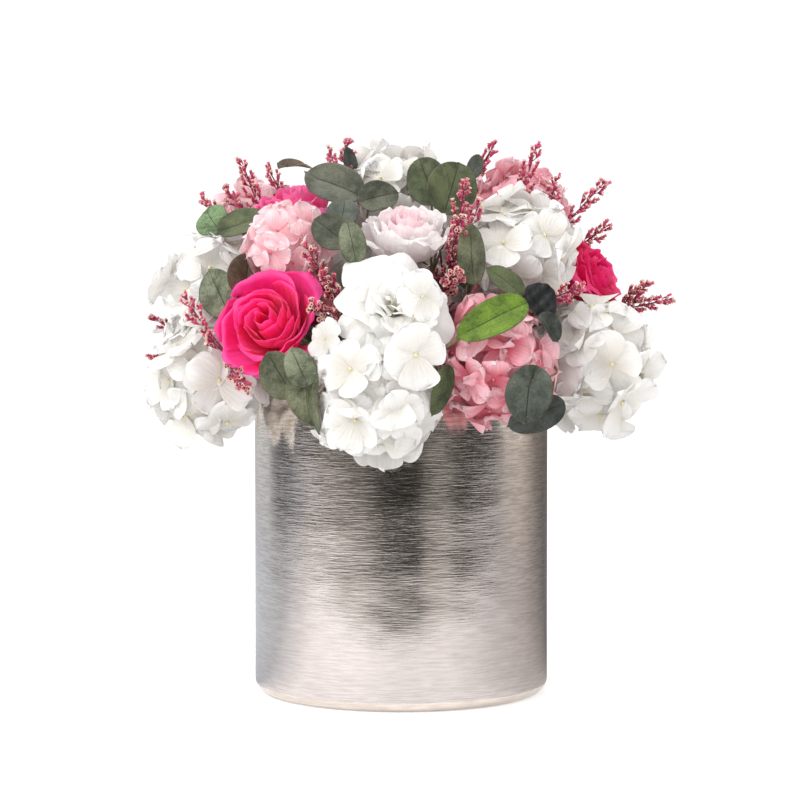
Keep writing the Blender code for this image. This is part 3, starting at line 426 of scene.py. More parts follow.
def exit_distance(direction, margin=0.0015):
    """How far from the focus a stem in this direction has left every bloom behind."""
    reach = STEM_START
    for bloom in BLOOMS:
        off = distance_to_ray(bloom.centre, direction)
        if off < bloom.radius + margin:
            along = (Vector(bloom.centre) - FOCUS).dot(direction)
            reach = max(reach, along + 0.85 * math.sqrt((bloom.radius + margin) ** 2 - off**2))
    return reach


def clear_of_blooms(point, margin):
    """The point moved straight out of any bloom, or the vase, that it would be inside."""
    point = Vector(point)
    for _ in range(4):
        for bloom in BLOOMS:
            away = point - Vector(bloom.centre)
            if away.length < bloom.radius + margin:
                point = Vector(bloom.centre) + away.normalized() * (bloom.radius + margin)
        across = math.hypot(point.x, point.y)
        if across < VASE_RADIUS + margin and point.z < VASE_HEIGHT + margin:
            point.xy *= (VASE_RADIUS + margin) / max(across, 1e-6)
    return point


def bend(start, end, lift, steps, margin):
    """Points of a smooth arch from start to end that stays clear of the blooms."""
    start, end = Vector(start), Vector(end)
    crest = (start + end) / 2 + outward((start + end) / 2) * lift
    points = [start]
    for i in range(1, steps):
        t = i / steps
        point = start * (1 - t) ** 2 + crest * 2 * t * (1 - t) + end * t**2
        points.append(clear_of_blooms(point, margin))
    return [*points, end]


def middle(points):
    return sum((Vector(p) for p in points), Vector()) / len(points)


def plan_trunks():
    """Every sprig's and spray's straight stem, from the foam up a valley to where it forks."""
    taken = [(bloom_stem(bloom)[0] - FOCUS).normalized() for bloom in BLOOMS]
    wanted = {name: middle([leaf.centre for leaf in leaves]) for name, leaves in SPRIGS.items()}
    wanted.update({name: middle(tips) for name, tips in SPRAYS.items()})
    wanted.update({name: Vector(aim) for name, aim in STEM_AIMS.items()})
    trunks = {}
    for name, goal in wanted.items():
        way = valley(outward(goal), taken)
        taken.append(way)
        trunks[name] = [FOCUS + way * TRUNK_REACH, FOCUS + way * exit_distance(way)]
    return trunks


def fork_of(trunk):
    """Where the branches of a stem start, a little inside its end."""
    return trunk[1] + (trunk[0] - trunk[1]).normalized() * FORK_DEPTH


def unit(vector):
    return vector / np.linalg.norm(vector, axis=-1, keepdims=True)


def axes(tip, face):
    """Columns X, Y and Z, with Z the face direction and Y as near to the tip direction as it can be."""
    z = unit(np.array(face, float))
    y = np.array(tip, float)
    y = unit(y - z * (y @ z))
    return np.stack([np.cross(y, z), y, z], axis=1)


def face_axes(face):
    """Columns X, Y and Z, with Z the face direction."""
    return axes(Vector(face).orthogonal(), face)


def sideways(way):
    """A direction square to the way."""
    return np.array(Vector(way).orthogonal().normalized())


def turned_round(way, side, turn):
    """The side, square to the way, turned round it."""
    return np.cos(turn) * side + np.sin(turn) * np.cross(way, side)


def as_array(vectors):
    return np.array([tuple(v) for v in vectors], float)


def seeded(name):
    return np.random.default_rng(zlib.crc32(name.encode()))


def node_corners(name):
    """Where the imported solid's corners are."""
    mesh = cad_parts[name].data
    corners = np.empty(len(mesh.vertices) * 3, np.float32)
    mesh.vertices.foreach_get("co", corners)
    return corners.reshape(-1, 3).astype(float)


def nearest(tries, corners, miss=math.inf):
    """The form, of pairs of a form and its points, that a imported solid's corners hold, or None."""
    gaps = []
    for _, points in tries:
        apart = np.linalg.norm(as_array(points)[:, None] - corners[None], axis=2)
        gaps.append(apart.min(axis=1).mean())
    best = int(np.argmin(gaps))
    if gaps[best] > miss:
        print("not found in its solid", tries[best][1][0], round(gaps[best] * 1000, 2))
        return None
    return tries[best][0]


def new_object(name, data):
    obj = bpy.data.objects.new(name, data)
    bpy.context.scene.collection.objects.link(obj)
    return obj


def swept(out, up, turn):
    """Points at this distance from the Z axis, height and angle."""
    return np.stack([out * np.cos(turn), out * np.sin(turn), up + 0 * turn], axis=-1)


VALUES = {"along": 1, "across": 1, "tint": 1, "depth": 1, "tone": 3}


class Build:
    """Sheets and bars that become one mesh, with the values that its materials read."""

    def __init__(self):
        self.points, self.quads, self.slots = [], [], []
        self.values = {name: [] for name in VALUES}
        self.count = 0

    def grid(self, points, closed=False, slot=0, **values):
        """Adds rows of points as a sheet. In a closed one the last column meets the first."""
        rows, columns = points.shape[:2]
        index = self.count + np.arange(rows * columns).reshape(rows, columns)
        if closed:
            index = np.concatenate([index, index[:, :1]], axis=1)
        quads = np.stack([index[:-1, :-1], index[:-1, 1:], index[1:, 1:], index[1:, :-1]], axis=-1)
        self.quads.append(quads.reshape(-1, 4))
        self.slots.append(np.full(len(self.quads[-1]), slot))
        self.points.append(points.reshape(-1, 3))
        for name, size in VALUES.items():
            value = np.zeros((rows, columns, size))
            given = np.asarray(values.get(name, 0.0), float)
            value[:] = given[..., None] if given.ndim == 2 else given
            self.values[name].append(value.reshape(-1, size))
        self.count += rows * columns

    def object(self, name, materials):
        mesh = bpy.data.meshes.new(name)
        points = np.concatenate(self.points)
        quads = np.concatenate(self.quads)
        mesh.vertices.add(len(points))
        mesh.vertices.foreach_set("co", points.astype(np.float32).ravel())
        mesh.loops.add(quads.size)
        mesh.polygons.add(len(quads))
        mesh.polygons.foreach_set("loop_start", np.arange(0, quads.size, 4))
        mesh.polygons.foreach_set("vertices", quads.ravel())
        mesh.polygons.foreach_set("material_index", np.concatenate(self.slots))
        mesh.polygons.foreach_set("use_smooth", np.ones(len(quads), bool))
        for key, size in VALUES.items():
            made = mesh.attributes.new(key, "FLOAT" if size == 1 else "FLOAT_VECTOR", "POINT")
            values = np.concatenate(self.values[key]).astype(np.float32).ravel()
            made.data.foreach_set("value" if size == 1 else "vector", values)
        for material in materials:
            mesh.materials.append(material)
        mesh.update(calc_edges=True)
        mesh.validate()
        return new_object(name, mesh)

    def piece(self, name, materials, node):
        """Makes the piece that stands for this node of the CAD model."""
        obj = self.object(name, materials)
        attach(obj, "root")
        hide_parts(node)


def smooth_route(points, steps):
    """A smooth curve through the points."""
    points = as_array(points)
    if len(points) == 2:
        return points[0] + (points[1] - points[0]) * np.linspace(0, 1, steps + 1)[:, None]
    ends = np.concatenate([[2 * points[0] - points[1]], points, [2 * points[-1] - points[-2]]])
    made = []
    for a, b, c, d in zip(ends, ends[1:], ends[2:], ends[3:]):
        t = np.linspace(0, 1, steps, endpoint=False)[:, None]
        curve = 2 * b + (c - a) * t + (2 * a - 5 * b + 4 * c - d) * t**2 + (3 * b - a - 3 * c + d) * t**3
        made.append(0.5 * curve)
    return np.concatenate([*made, points[-1:]])


# How far a bar's closing ring shrinks, so that its end is shut
END_SHRINK = 0.04


def rod(build, route, radii, sides=8, **values):
    """A round bar along a route, closed at both ends, with one radius or one for each point."""
    route = np.asarray(route, float)
    radii = np.broadcast_to(np.asarray(radii, float), (len(route),))
    ways = unit(np.gradient(route, axis=0))
    side = sideways(ways[0])
    turn = np.linspace(0, math.tau, sides, endpoint=False)[:, None]
    rings = []
    for point, way, radius in zip(route, ways, radii):
        side = unit(side - way * (side @ way))
        rings.append(point + turned_round(way, side, turn) * radius)
    first = route[0] + (rings[0] - route[0]) * END_SHRINK
    last = route[-1] + (rings[-1] - route[-1]) * END_SHRINK
    along = np.linspace(0, 1, len(rings) + 2)[:, None] * np.ones(sides)
    build.grid(np.stack([first, *rings, last]), closed=True, **{"along": along, **values})


class RoseLook(NamedTuple):
    """A rose's number of petals, how far it opens and ruffles, its heart's height, its petals' width."""

    petals: int
    open: float
    ruffle: float
    heart: float
    width: float


ROSE_LOOKS = {
    "rose_white_front": RoseLook(36, 1.00, 0.075, 0.52, 0.60),
    "rose_hot_pink_left": RoseLook(24, 0.80, 0.085, 0.60, 0.80),
    "rose_pale_pink_top": RoseLook(30, 0.60, 0.130, 0.62, 0.66),
    "rose_pink_upper_left": RoseLook(24, 0.70, 0.100, 0.58, 0.76),
    "rose_hot_pink_right": RoseLook(22, 0.85, 0.095, 0.58, 0.76),
    "rose_hot_pink_back": RoseLook(25, 0.80, 0.085, 0.60, 0.82),
    "rose_pale_pink_back": RoseLook(26, 0.60, 0.085, 0.55, 0.80),
}


def mix(a, b, t):
    return a + (b - a) * t


def profile_curve(v, root, belly, chest, rim):
    """Distance from the rose's axis and height, from the petal's root at v 0 to its rim at v 1."""
    b = [(1 - v) ** 3, 3 * v * (1 - v) ** 2, 3 * v**2 * (1 - v), v**3]
    return [sum(w * p[k] for w, p in zip(b, (root, belly, chest, rim))) for k in (0, 1)]


def rose_petal(t, u, s, look, rng):
    """One petal at depth t, 0 in the heart and 1 outermost, for a rose of radius 1 that faces +Z."""
    v = s * (1.0 - mix(0.10, 0.26, t) * np.abs(u) ** 2.8)
    opened = look.open
    lean = rng.normal(0.0, 0.060) * t
    low = rng.normal(0.0, 0.075) * t
    root = (mix(0.05, 0.17, t), -0.49)
    belly = (mix(0.24, mix(0.92, 0.80, opened), t), mix(-0.20, -0.42, t))
    chest = (mix(0.17, mix(1.02, 0.98, opened), t**0.9) + lean, mix(0.34, mix(0.34, 0.24, opened), t))
    top = mix(0.06, mix(0.84, 1.02, opened), t**0.85) + 1.6 * lean
    rim = (top, mix(look.heart, mix(0.52, 0.06, opened), t**1.25) + low)
    out, up = profile_curve(v, root, belly, chest, rim)
    near_rim = np.clip((v - 0.80) / 0.20, 0, 1)
    roll = near_rim * (0.35 + 0.65 * t) * rng.uniform(0.6, 1.5)
    out += 0.095 * roll**1.5 * (0.4 + opened * 0.8)
    up -= 0.095 * roll**2 * (0.5 + opened * 0.6)
    up += 0.040 * np.exp(-((u / 0.16) ** 2)) * near_rim
    out *= 1.0 + mix(0.34, 0.085, t**0.6) * u * v
    out += 0.05 * np.abs(u) ** 3 * v * t * opened
    wave = rng.uniform(0, math.tau, 4)
    ripple = np.sin(4.1 * u + wave[0]) + 0.6 * np.sin(8.3 * u + wave[1])
    amount = look.ruffle * (0.30 + 0.70 * t)
    out += amount * ripple * v**3 * 0.5
    up += amount * (np.sin(5.7 * u + wave[2]) * v**3 * 0.7 + 0.30 * np.sin(17.0 * u + wave[3]) * v**7)
    width = mix(1.35, look.width, t**0.7) * rng.uniform(0.88, 1.12)
    return swept(out, up, u * width * (0.80 + 0.20 * v))


def open_petal(t, u, s, look, rng):
    """One petal of a rose blown open, whose petals lie over each other along a low dome."""
    v = s * (1.0 - 0.24 * np.abs(u) ** 2.4)
    far = mix(0.10, 1.03, t**0.72) * (1.0 + rng.normal(0.0, 0.060))
    shown = mix(0.20, 0.56, t)

    def dome(across):
        return mix(look.heart, -0.12, np.clip(across, 0, 1.2) ** 1.7)

    start = max(far - shown, 0.03)
    root = (mix(0.03, 0.12, t), -0.49)
    belly = (start * 0.85, dome(start) - mix(0.05, 0.16, t))
    chest = (far - 0.42 * shown, dome(far - 0.42 * shown) + mix(0.05, 0.10, t))
    lift = rng.uniform(-0.07, 0.14)
    out, up = profile_curve(v, root, belly, chest, (far, dome(far) + lift))
    side = u * v
    up += rng.uniform(-0.10, 0.06) * side**2 + 0.05 * rng.normal() * side
    wave = rng.uniform(0, math.tau, 4)
    ruffle = look.ruffle * v**3
    up += ruffle * (np.sin(3.4 * u + wave[0]) + 0.6 * np.sin(7.1 * u + wave[1]))
    out += ruffle * 0.7 * np.sin(4.3 * u + wave[2])
    up += 0.012 * np.sin(14.0 * u + wave[3]) * v**2
    width = mix(1.25, look.width, t**0.55) * rng.uniform(0.86, 1.14)
    grow = np.sin(np.clip(v, 0, 1) * math.pi * 0.55) ** 0.6
    return swept(out, up, u * width * (0.35 + 0.65 * grow))


def make_rose(bloom, material):
    rng = seeded(bloom.name)
    look = ROSE_LOOKS[bloom.name]
    centre = np.array(bloom.centre)
    turned = face_axes(bloom_facing(bloom))
    planes = soft_planes(bloom)
    petal = open_petal if bloom.colour == "white" else rose_petal
    u, s = np.meshgrid(np.linspace(-1, 1, 17), np.linspace(0, 1, 19))
    build = Build()
    for i in range(look.petals):
        t = (i / (look.petals - 1)) ** 0.92
        local = turned_about_z(petal(t, u, s, look, rng), i * GOLDEN_ANGLE + rng.normal(0, 0.14))
        world = pressed(centre + bloom.radius * 0.98 * local @ turned.T, centre, planes)
        build.grid(world, along=s, across=u, tint=rng.random(), depth=t)
    foot = np.linspace(-0.495, -0.22, 5)[:, None] * bloom.radius * turned[:, 2] + centre
    rod(build, foot, np.array([0.20, 0.33, 0.36, 0.30, 0.16]) * bloom.radius, 20, depth=1.0, tint=0.5)
    build.piece("petals_" + bloom.name, [material], bloom.name)


class HeadLook(NamedTuple):
    """A head's outer and inner florets, their size, and how curled, rippled, pointed and wide petals are."""

    outer: int
    inner: int
    size: float
    curl: float
    ripple: float
    point: float
    width: float


HEAD_LOOKS = {
    "white": HeadLook(24, 12, 0.52, 0.00, 0.070, 0.0, 0.70),
    "pink": HeadLook(29, 14, 0.48, 0.04, 0.115, 0.05, 0.66),
}

# Florets that stand out of a head: middle, facing and petal length
EXTRA_FLORETS = {
    "hydrangea_white_front_low": [
        ((0.0070, -0.1330, 0.1855), (0.20, -0.95, -0.20), 0.0165),
        ((0.0100, -0.1350, 0.2135), (0.50, -0.85, 0.20), 0.0130),
        ((-0.0245, -0.1310, 0.1785), (-0.35, -0.90, -0.05), 0.0150),
        ((-0.0375, -0.1120, 0.1930), (-0.55, -0.80, 0.15), 0.0110),
        ((-0.0225, -0.1270, 0.1535), (-0.20, -0.92, -0.30), 0.0165),
        ((-0.0010, -0.1310, 0.1560), (0.25, -0.90, -0.35), 0.0130),
    ],
}


def head_petal(size, look, rng):
    """One petal along +X, its root at the origin and its face up."""
    u, s = np.meshgrid(np.linspace(-1, 1, 10), np.linspace(0, 1, 11))
    v = 1.0 - (1.0 - s) ** 1.45
    phase = rng.uniform(0, math.tau, 6)
    half = look.width * 1.28 * np.clip(v, 0.004, 1) ** 0.62 * np.sqrt(np.clip(1.0 - v**3.0, 0.0009, 1))
    half *= 1.0 + 0.5 * look.point * np.sin(15.0 * v + phase[3]) + 0.05 * np.sin(9.0 * v + phase[4])
    lift = rng.uniform(-0.08, 0.50)
    curl = look.curl + rng.uniform(0.00, 0.36)
    x = v * (1.0 + look.point * np.exp(-((u / 0.3) ** 2)) * v**5)
    x += 0.45 * look.ripple * np.sin(5.5 * u + phase[5]) * v**4
    y = u * half
    z = lift * v - curl * v**2
    z += rng.uniform(-0.20, 0.26) * y**2 / look.width
    folded = np.clip(rng.choice([-1.0, 1.0]) * u - 0.30, 0, 1) ** 2
    z += rng.uniform(-0.30, 0.42) * folded * v
    z += look.ripple * v**2 * (np.sin(3.6 * u + phase[0]) + 0.6 * np.sin(7.0 * u + phase[1] + 3 * v))
    z += 0.35 * look.ripple * v**3 * np.sin(12.0 * u + phase[2])
    return np.stack([x, y, z], axis=-1) * size, u, s


def turned_about_z(points, turn):
    c, n = math.cos(turn), math.sin(turn)
    return points @ np.array([[c, n, 0], [-n, c, 0], [0, 0, 1]])


def ball(build, centre, radius, slot, rows=4, columns=6, **values):
    pole = 0.5 * math.pi * 0.97
    up = np.linspace(-pole, pole, rows + 1)[:, None]
    turn = np.linspace(0, math.tau, columns, endpoint=False)[None]
    shape = swept(np.cos(up), np.sin(up), turn)
    build.grid(centre + shape * radius, closed=True, slot=slot, **values)


# A floret's eye as a share of its petals' length, and its stalk's radii from the head outwards
EYE_SHARE = 0.070
STALK_RADII = (0.00045, 0.0004, 0.0006)


def add_floret(build, look, rng, root, base, face, size, spin, centre=None, planes=(), depth=1.0):
    """Four petals round a small eye, on a stalk that reaches back into the head."""
    turned = face_axes(face)
    for k in range(4):
        petal, u, s = head_petal(size * rng.uniform(0.86, 1.08), look, rng)
        petal = turned_about_z(petal, spin + k * math.pi / 2 + rng.normal(0, 0.09))
        petal[..., 2] += size * (0.03 if k % 2 else 0.0)
        world = pressed(base + petal @ turned.T, centre, planes)
        build.grid(world, along=s, across=u, tint=rng.random(), depth=depth)
    eye = pressed((base + turned[:, 2] * size * 0.05)[None], centre, planes)[0]
    ball(build, eye, size * EYE_SHARE, 1, tint=rng.random())
    stalk = np.stack([root, eye * 0.98 + root * 0.02])
    rod(build, smooth_route(stalk, 2), STALK_RADII, 5, slot=2)


def add_extra_florets(build, bloom, rng):
    for base, face, size in EXTRA_FLORETS.get(bloom.name, ()):
        base = np.array(base)
        root = np.array(bloom.centre) + (base - np.array(bloom.centre)) * 0.4
        spin = rng.uniform(0, math.tau)
        add_floret(build, HEAD_LOOKS["white"], rng, root, base, face, size, spin)


# Two heads closer than this share of the sum of their radii run together. The florets on their seam stay
# outside this share of any other bloom's radius, and this far from the vase's rim.
SEAM_REACH = 0.98
BLOOM_MARGIN = 1.02
RIM_MARGIN = 0.012


def add_valley_florets(build, bloom, rng):
    """Florets over the seams between this head and earlier ones of its colour, which run together."""
    centre = np.array(bloom.centre)
    look = HEAD_LOOKS[bloom.colour]
    for other in BLOOMS[:BLOOMS.index(bloom)]:
        between = np.array(other.centre) - centre
        apart = np.linalg.norm(between)
        alike = other.kind == bloom.kind and other.colour == bloom.colour
        if not alike or apart > SEAM_REACH * (bloom.radius + other.radius):
            continue
        share = (apart**2 + bloom.radius**2 - other.radius**2) / (2 * apart)
        seam = centre + between / apart * share
        across = math.sqrt(bloom.radius**2 - share**2)
        out = np.array(outward(seam))
        out = unit(out - between / apart * (out @ between / apart))
        side = np.cross(between / apart, out)
        for k in range(-3, 4):
            turn = math.radians(34.0 * k + rng.uniform(-9, 9))
            way = out * math.cos(turn) + side * math.sin(turn)
            base = seam + way * across * rng.uniform(0.82, 0.94)
            others = [b for b in BLOOMS if b is not bloom and b is not other]
            if any(np.linalg.norm(base - np.array(b.centre)) < b.radius * BLOOM_MARGIN for b in others):
                continue
            if math.hypot(*base[:2]) < VASE_RADIUS + RIM_MARGIN and base[2] < VASE_HEIGHT + RIM_MARGIN:
                continue
            face = unit(way + rng.normal(0, 0.22, 3))
            size = bloom.radius * look.size * rng.uniform(0.84, 1.0)
            root = seam + (base - seam) * 0.3
            add_floret(build, look, rng, root, base, face, size, rng.uniform(0, math.tau))


def make_head(bloom, materials):
    rng = seeded(bloom.name)
    look = HEAD_LOOKS[bloom.colour]
    centre = np.array(bloom.centre)
    own = face_axes(bloom_facing(bloom))
    planes = soft_planes(bloom)
    build = Build()
    layers = ((look.outer, 0.82, look.size, -0.74, 1.0), (look.inner, 0.56, look.size * 0.85, -0.78, 0.0))
    for count, reach, size, lowest, depth in layers:
        for i in range(count):
            height = 1.0 - (1.0 - lowest) * (i + 0.35) / count
            across = math.sqrt(1.0 - height**2)
            turn = i * GOLDEN_ANGLE + depth * 0.9
            way = own @ np.array([across * math.cos(turn), across * math.sin(turn), height])
            way = unit(way + rng.normal(0, 0.08, 3))
            face = unit(way + rng.normal(0, 0.28, 3))
            far = bloom.radius * (reach + rng.uniform(-0.11, 0.07))
            base = pressed((centre + way * far)[None], centre, planes)[0]
            root = centre + (base - centre) * 0.25
            spin = rng.uniform(0, math.tau)
            wide = bloom.radius * size * rng.uniform(0.90, 1.08)
            add_floret(build, look, rng, root, base, face, wide, spin, centre, planes, depth)
    add_extra_florets(build, bloom, rng)
    add_valley_florets(build, bloom, rng)
    core = Build()
    ball(core, np.zeros(3), 1.0, 0, 14, 20)
    shape = pressed(centre + core.points[0] * bloom.radius * 0.52, centre, planes)
    build.grid(shape.reshape(15, 20, 3), closed=True, slot=2)
    rod(build, smooth_route(bloom_stem(bloom), 5), HYDRANGEA_STEM * STEM_SHARE, 12, slot=2)
    build.piece("petals_" + bloom.name, materials, bloom.name)


# A calyx: its cup's radii from the stem up, and its sepals' number, half width, start and length
CUP_RADII = (0.0019, 0.0024, 0.0036, 0.0049, 0.0058, 0.0064, 0.0067, 0.0060)
SEPALS = 5
SEPAL_HALF = 0.0027
SEPAL_START = 0.0050
SEPAL_LENGTH = 0.0095


def make_calyx(bloom, material):
    """Five pointed sepals folded back under the rose, a cup and the stem."""
    rng = seeded("calyx" + bloom.name)
    build = Build()
    facing = bloom_facing(bloom)
    turned = face_axes(facing)
    top = np.array(bloom.centre) - np.array(facing) * (ROSE_BASE * bloom.radius + SEAT_GAP)
    depth = np.linspace(-CALYX_LENGTH - 0.0012, -0.0004, len(CUP_RADII))
    rod(build, top + depth[:, None] * turned[:, 2], CUP_RADII, 24)
    foam = press_planes(bloom)[:1]
    u, s = np.meshgrid(np.linspace(-1, 1, 5), np.linspace(0, 1, 9))
    half = SEPAL_HALF * (1.0 - s) ** 0.7 * (0.6 + 1.2 * s)
    for k in range(SEPALS):
        up = -0.0016 - 0.0040 * s**2 + 0.0012 * np.abs(u) + rng.uniform(-0.0008, 0.0008) * s
        local = np.stack([SEPAL_START + SEPAL_LENGTH * s, u * (half + 0.00005), up], axis=-1)
        local = turned_about_z(local, k * math.tau / SEPALS)
        world = pressed(top + local @ turned.T, np.array(bloom.centre), foam)
        build.grid(world, along=s, across=u, tint=rng.random())
    rod(build, smooth_route(bloom_stem(bloom), 5), ROSE_STEM * STEM_SHARE, 12)
    name = bloom.name.replace("rose", "calyx", 1)
    build.piece("sepals_" + name, [material], name)


def leaf_point(leaf, centre, x, y):
    """Where the CAD has this point of the leaf's front face, for x and y from -1 to 1."""
    far = (y + 0.10 * max(0.0, y) ** 6) * leaf.length
    shape = np.array([x * leaf.width * (1.0 - 0.10 * y), far, leaf.width * (0.16 * abs(x) - 0.10 * y * y)])
    return clear_of_blooms(np.array(centre) + axes(leaf.tip, leaf.face) @ shape, LEAF_THICKNESS + LEAF_CLEAR)


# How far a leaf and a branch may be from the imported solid's and still be found
LEAF_MISS = 0.0006
BRANCH_MISS = 0.0016


def leaf_middle(leaf, corners):
    """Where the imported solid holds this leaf, or None where it has none."""
    turns = [math.tau * k / LEAF_SIDES for k in range(LEAF_SIDES)]
    tries = []
    for lift in LEAF_LIFTS:
        centre = Vector(leaf.centre) + outward(leaf.centre) * lift
        tries.append((centre, [leaf_point(leaf, centre, -math.sin(t), math.cos(t)) for t in turns]))
    return nearest(tries, corners, LEAF_MISS)


def twig_route(leaf, centre, fork, corners):
    """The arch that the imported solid's twig takes to this leaf's rib."""
    hub, foot = leaf_point(leaf, centre, 0.0, 0.0), leaf_point(leaf, centre, 0.0, -1.0)
    tries = []
    for arch in TWIG_ARCHES:
        for share in RIB_SHARES:
            root = hub.lerp(foot, share)
            steps = 2 if (root - fork).length < SHORT_TWIG else 4
            route = bend(fork, root, arch, steps, TWIG_RADIUS + LEAF_CLEAR)
            tries.append((route, route[1:-1]))
    return smooth_route(nearest(tries, corners), 4)


# Half the thickness of a leaf's blade away from its midrib
BLADE_HALF = 0.00022


def leaf_blade(build, leaf, centre, rng):
    """A round blade with a short point, a sunk midrib and a slightly waved, lifted rim."""
    u, s = np.meshgrid(np.linspace(-1, 1, 21), np.linspace(0, 1, 25))
    y = -np.cos(s * math.pi)
    x = u * np.clip(np.sin(s * math.pi), 0.02, 1) ** 0.92
    phase = rng.uniform(0, math.tau, 3)
    crumpled = leaf.tone == "black"
    wavy = leaf.width * (2.6 if crumpled else 1.0)
    far = (y + 0.10 * np.clip(y, 0, 1) ** 6 * (1 - np.abs(u))) * leaf.length
    z = leaf.width * (0.15 * np.abs(x) - 0.10 * y * y - 0.05 * np.exp(-((x / 0.10) ** 2)))
    z += wavy * 0.045 * u**2 * np.sin(3.0 * y + phase[0] + np.sign(u))
    z += wavy * 0.020 * np.sin(4.0 * x + phase[1]) * np.sin(5.0 * y + phase[2])
    if crumpled:
        z += leaf.width * 0.10 * np.sin(9.0 * x + phase[1]) * np.sin(7.0 * y + phase[2])
    flat = np.stack([x * leaf.width * (1.0 - 0.10 * y), far, z], axis=-1)
    world = (np.array(centre) + flat @ axes(leaf.tip, leaf.face).T).reshape(-1, 3)
    margin = LEAF_THICKNESS * 0.5 + LEAF_CLEAR
    world = as_array(clear_of_blooms(p, margin) for p in world).reshape(flat.shape)
    normal = unit(np.cross(np.gradient(world, axis=1), np.gradient(world, axis=0)) + 1e-12)
    thick = normal * BLADE_HALF * (1.0 + 1.2 * np.exp(-((u / 0.08) ** 2)))[..., None]
    shade = np.array(TONES[leaf.tone]) * rng.uniform(0.92, 1.08)
    build.grid(
        np.concatenate([world + thick, (world - thick)[:, ::-1]], axis=1),
        closed=True,
        along=np.concatenate([s, s], axis=1),
        across=np.concatenate([u, u[:, ::-1]], axis=1),
        depth=np.concatenate([0 * u, 1 + 0 * u], axis=1),
        tint=rng.random(),
        tone=shade,
    )


def make_sprig(name, leaves, trunk, materials):
    rng = seeded(name)
    corners = node_corners(name)
    build = Build()
    fork = fork_of(trunk)
    rod(build, smooth_route(trunk, 3), [TRUNK_RADIUS * f for f in (1.0, 0.95, 0.9, 0.85)], 8, slot=1)
    for leaf in leaves:
        centre = leaf_middle(leaf, corners)
        if centre is None:
            continue
        leaf_blade(build, leaf, centre, rng)
        route = twig_route(leaf, centre, fork, corners)
        rod(build, route, np.linspace(TWIG_RADIUS, TWIG_RADIUS * 0.6, len(route)), 7, slot=1)
    build.piece("leaves_" + name, materials, name)


def bud(build, at, way, length, rng):
    """One floret: a narrow ribbed cup that opens at its papery tip."""
    s = np.array([0.0, 0.25, 0.6, 0.85, 1.0])
    wide = np.array([0.10, 0.20, 0.27, 0.24, 0.40]) * length
    turn = np.linspace(0, math.tau, 5, endpoint=False) + rng.uniform(0, math.tau)
    ring = turned_round(way, sideways(way), turn[:, None])
    points = at + s[:, None, None] * length * way + wide[:, None, None] * ring[None]
    build.grid(points, closed=True, along=s[:, None] * np.ones(5), tint=rng.random(), depth=1.0)


def spray_goal(tip, fork, corners):
    """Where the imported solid's branch for this tip ends, or None where it has none."""
    side = outward(tip).orthogonal().normalized()
    tries = []
    for attempt in range(20):
        turned_side = Matrix.Rotation(attempt * GOLDEN_ANGLE, 3, outward(tip)) @ side
        goal = clear_of_blooms(Vector(tip) + turned_side * BRANCH_STEP * attempt, BRANCH_LIFT)
        arch = bend(fork, goal, BRANCH_LIFT, 3, SPRAY_TWIG + BRANCH_STEP)
        tries.append((arch, [arch[-1] + (arch[-1] - arch[-2]).normalized() * BRANCH_STEP]))
    return nearest(tries, corners, BRANCH_MISS)


# Radii of a spray's thinnest branches and of their ends
FINE_TWIG = 0.00032
FINE_TIP = 0.00020

# Lengths of a spray's buds and of those at a branch's end, the room for one on its twig, a twig's length
# at a branch's end and its most, before chance changes both, and how far apart the twigs stand
BUD_LENGTH = (0.0023, 0.0035)
END_BUD_LENGTH = (0.0022, 0.0030)
BUD_ROOM = 0.0011
SHORT_CLUSTER = 0.0026
LONG_CLUSTER = 0.0078
CLUSTER_STEP = (0.0020, 0.0034)


def add_cluster(build, at, way, side, left, rng):
    """A short side twig with buds, on a branch that goes on for the length that is left."""
    long = min(LONG_CLUSTER, SHORT_CLUSTER + 0.30 * left) * rng.uniform(0.75, 1.15)
    rise = unit(way * 0.80 + side * 0.62) * long * 0.55
    bow = unit(way + side * 0.25)
    end = at + rise + bow * long * 0.5
    twig = smooth_route([at, at + rise, end], 3)
    rod(build, twig, np.linspace(FINE_TWIG, FINE_TIP, len(twig)), 4)
    count = max(3, int(long / BUD_ROOM))
    for b in range(count):
        share = 0.35 + 0.65 * (b + 1) / count
        spot = twig[min(int(share * (len(twig) - 1)), len(twig) - 1)]
        spot = spot + (end - at) * rng.uniform(-0.04, 0.04)
        spread = 0.15 if b == count - 1 else 0.75
        face = bow + rng.normal(0, 0.35 * spread, 3) + side * spread * rng.uniform(-0.6, 0.8)
        bud(build, spot, unit(face), rng.uniform(*BUD_LENGTH), rng)


def make_spray(name, tips, trunk, material):
    rng = seeded(name)
    corners = node_corners(name)
    build = Build()
    rod(build, smooth_route(trunk, 3), SPRAY_STEM * 0.9, 7)
    for tip in tips:
        arch = spray_goal(tip, fork_of(trunk), corners)
        if arch is None:
            continue
        route = smooth_route(arch, 8)
        gone = np.concatenate([[0], np.cumsum(np.linalg.norm(np.diff(route, axis=0), axis=1))])
        total = gone[-1]

        def point(far):
            return np.array([np.interp(far, gone, axis) for axis in route.T])

        rod(build, route, np.linspace(SPRAY_TWIG, FINE_TWIG, len(route)), 6)
        place = total * 0.30
        k = rng.integers(0, 7)
        while place < total:
            at = point(place)
            way = unit(point(min(place + 0.002, total)) - at + 1e-9)
            side = turned_round(way, sideways(way), k * GOLDEN_ANGLE)
            add_cluster(build, at, way, side, total - place, rng)
            place += rng.uniform(*CLUSTER_STEP)
            k += 1
        for b in range(4):
            way = unit(route[-1] - route[-2]) + rng.normal(0, 0.22, 3)
            bud(build, route[-1 - b // 2], unit(way), rng.uniform(*END_BUD_LENGTH), rng)
    build.piece("florets_" + name, [material], name)


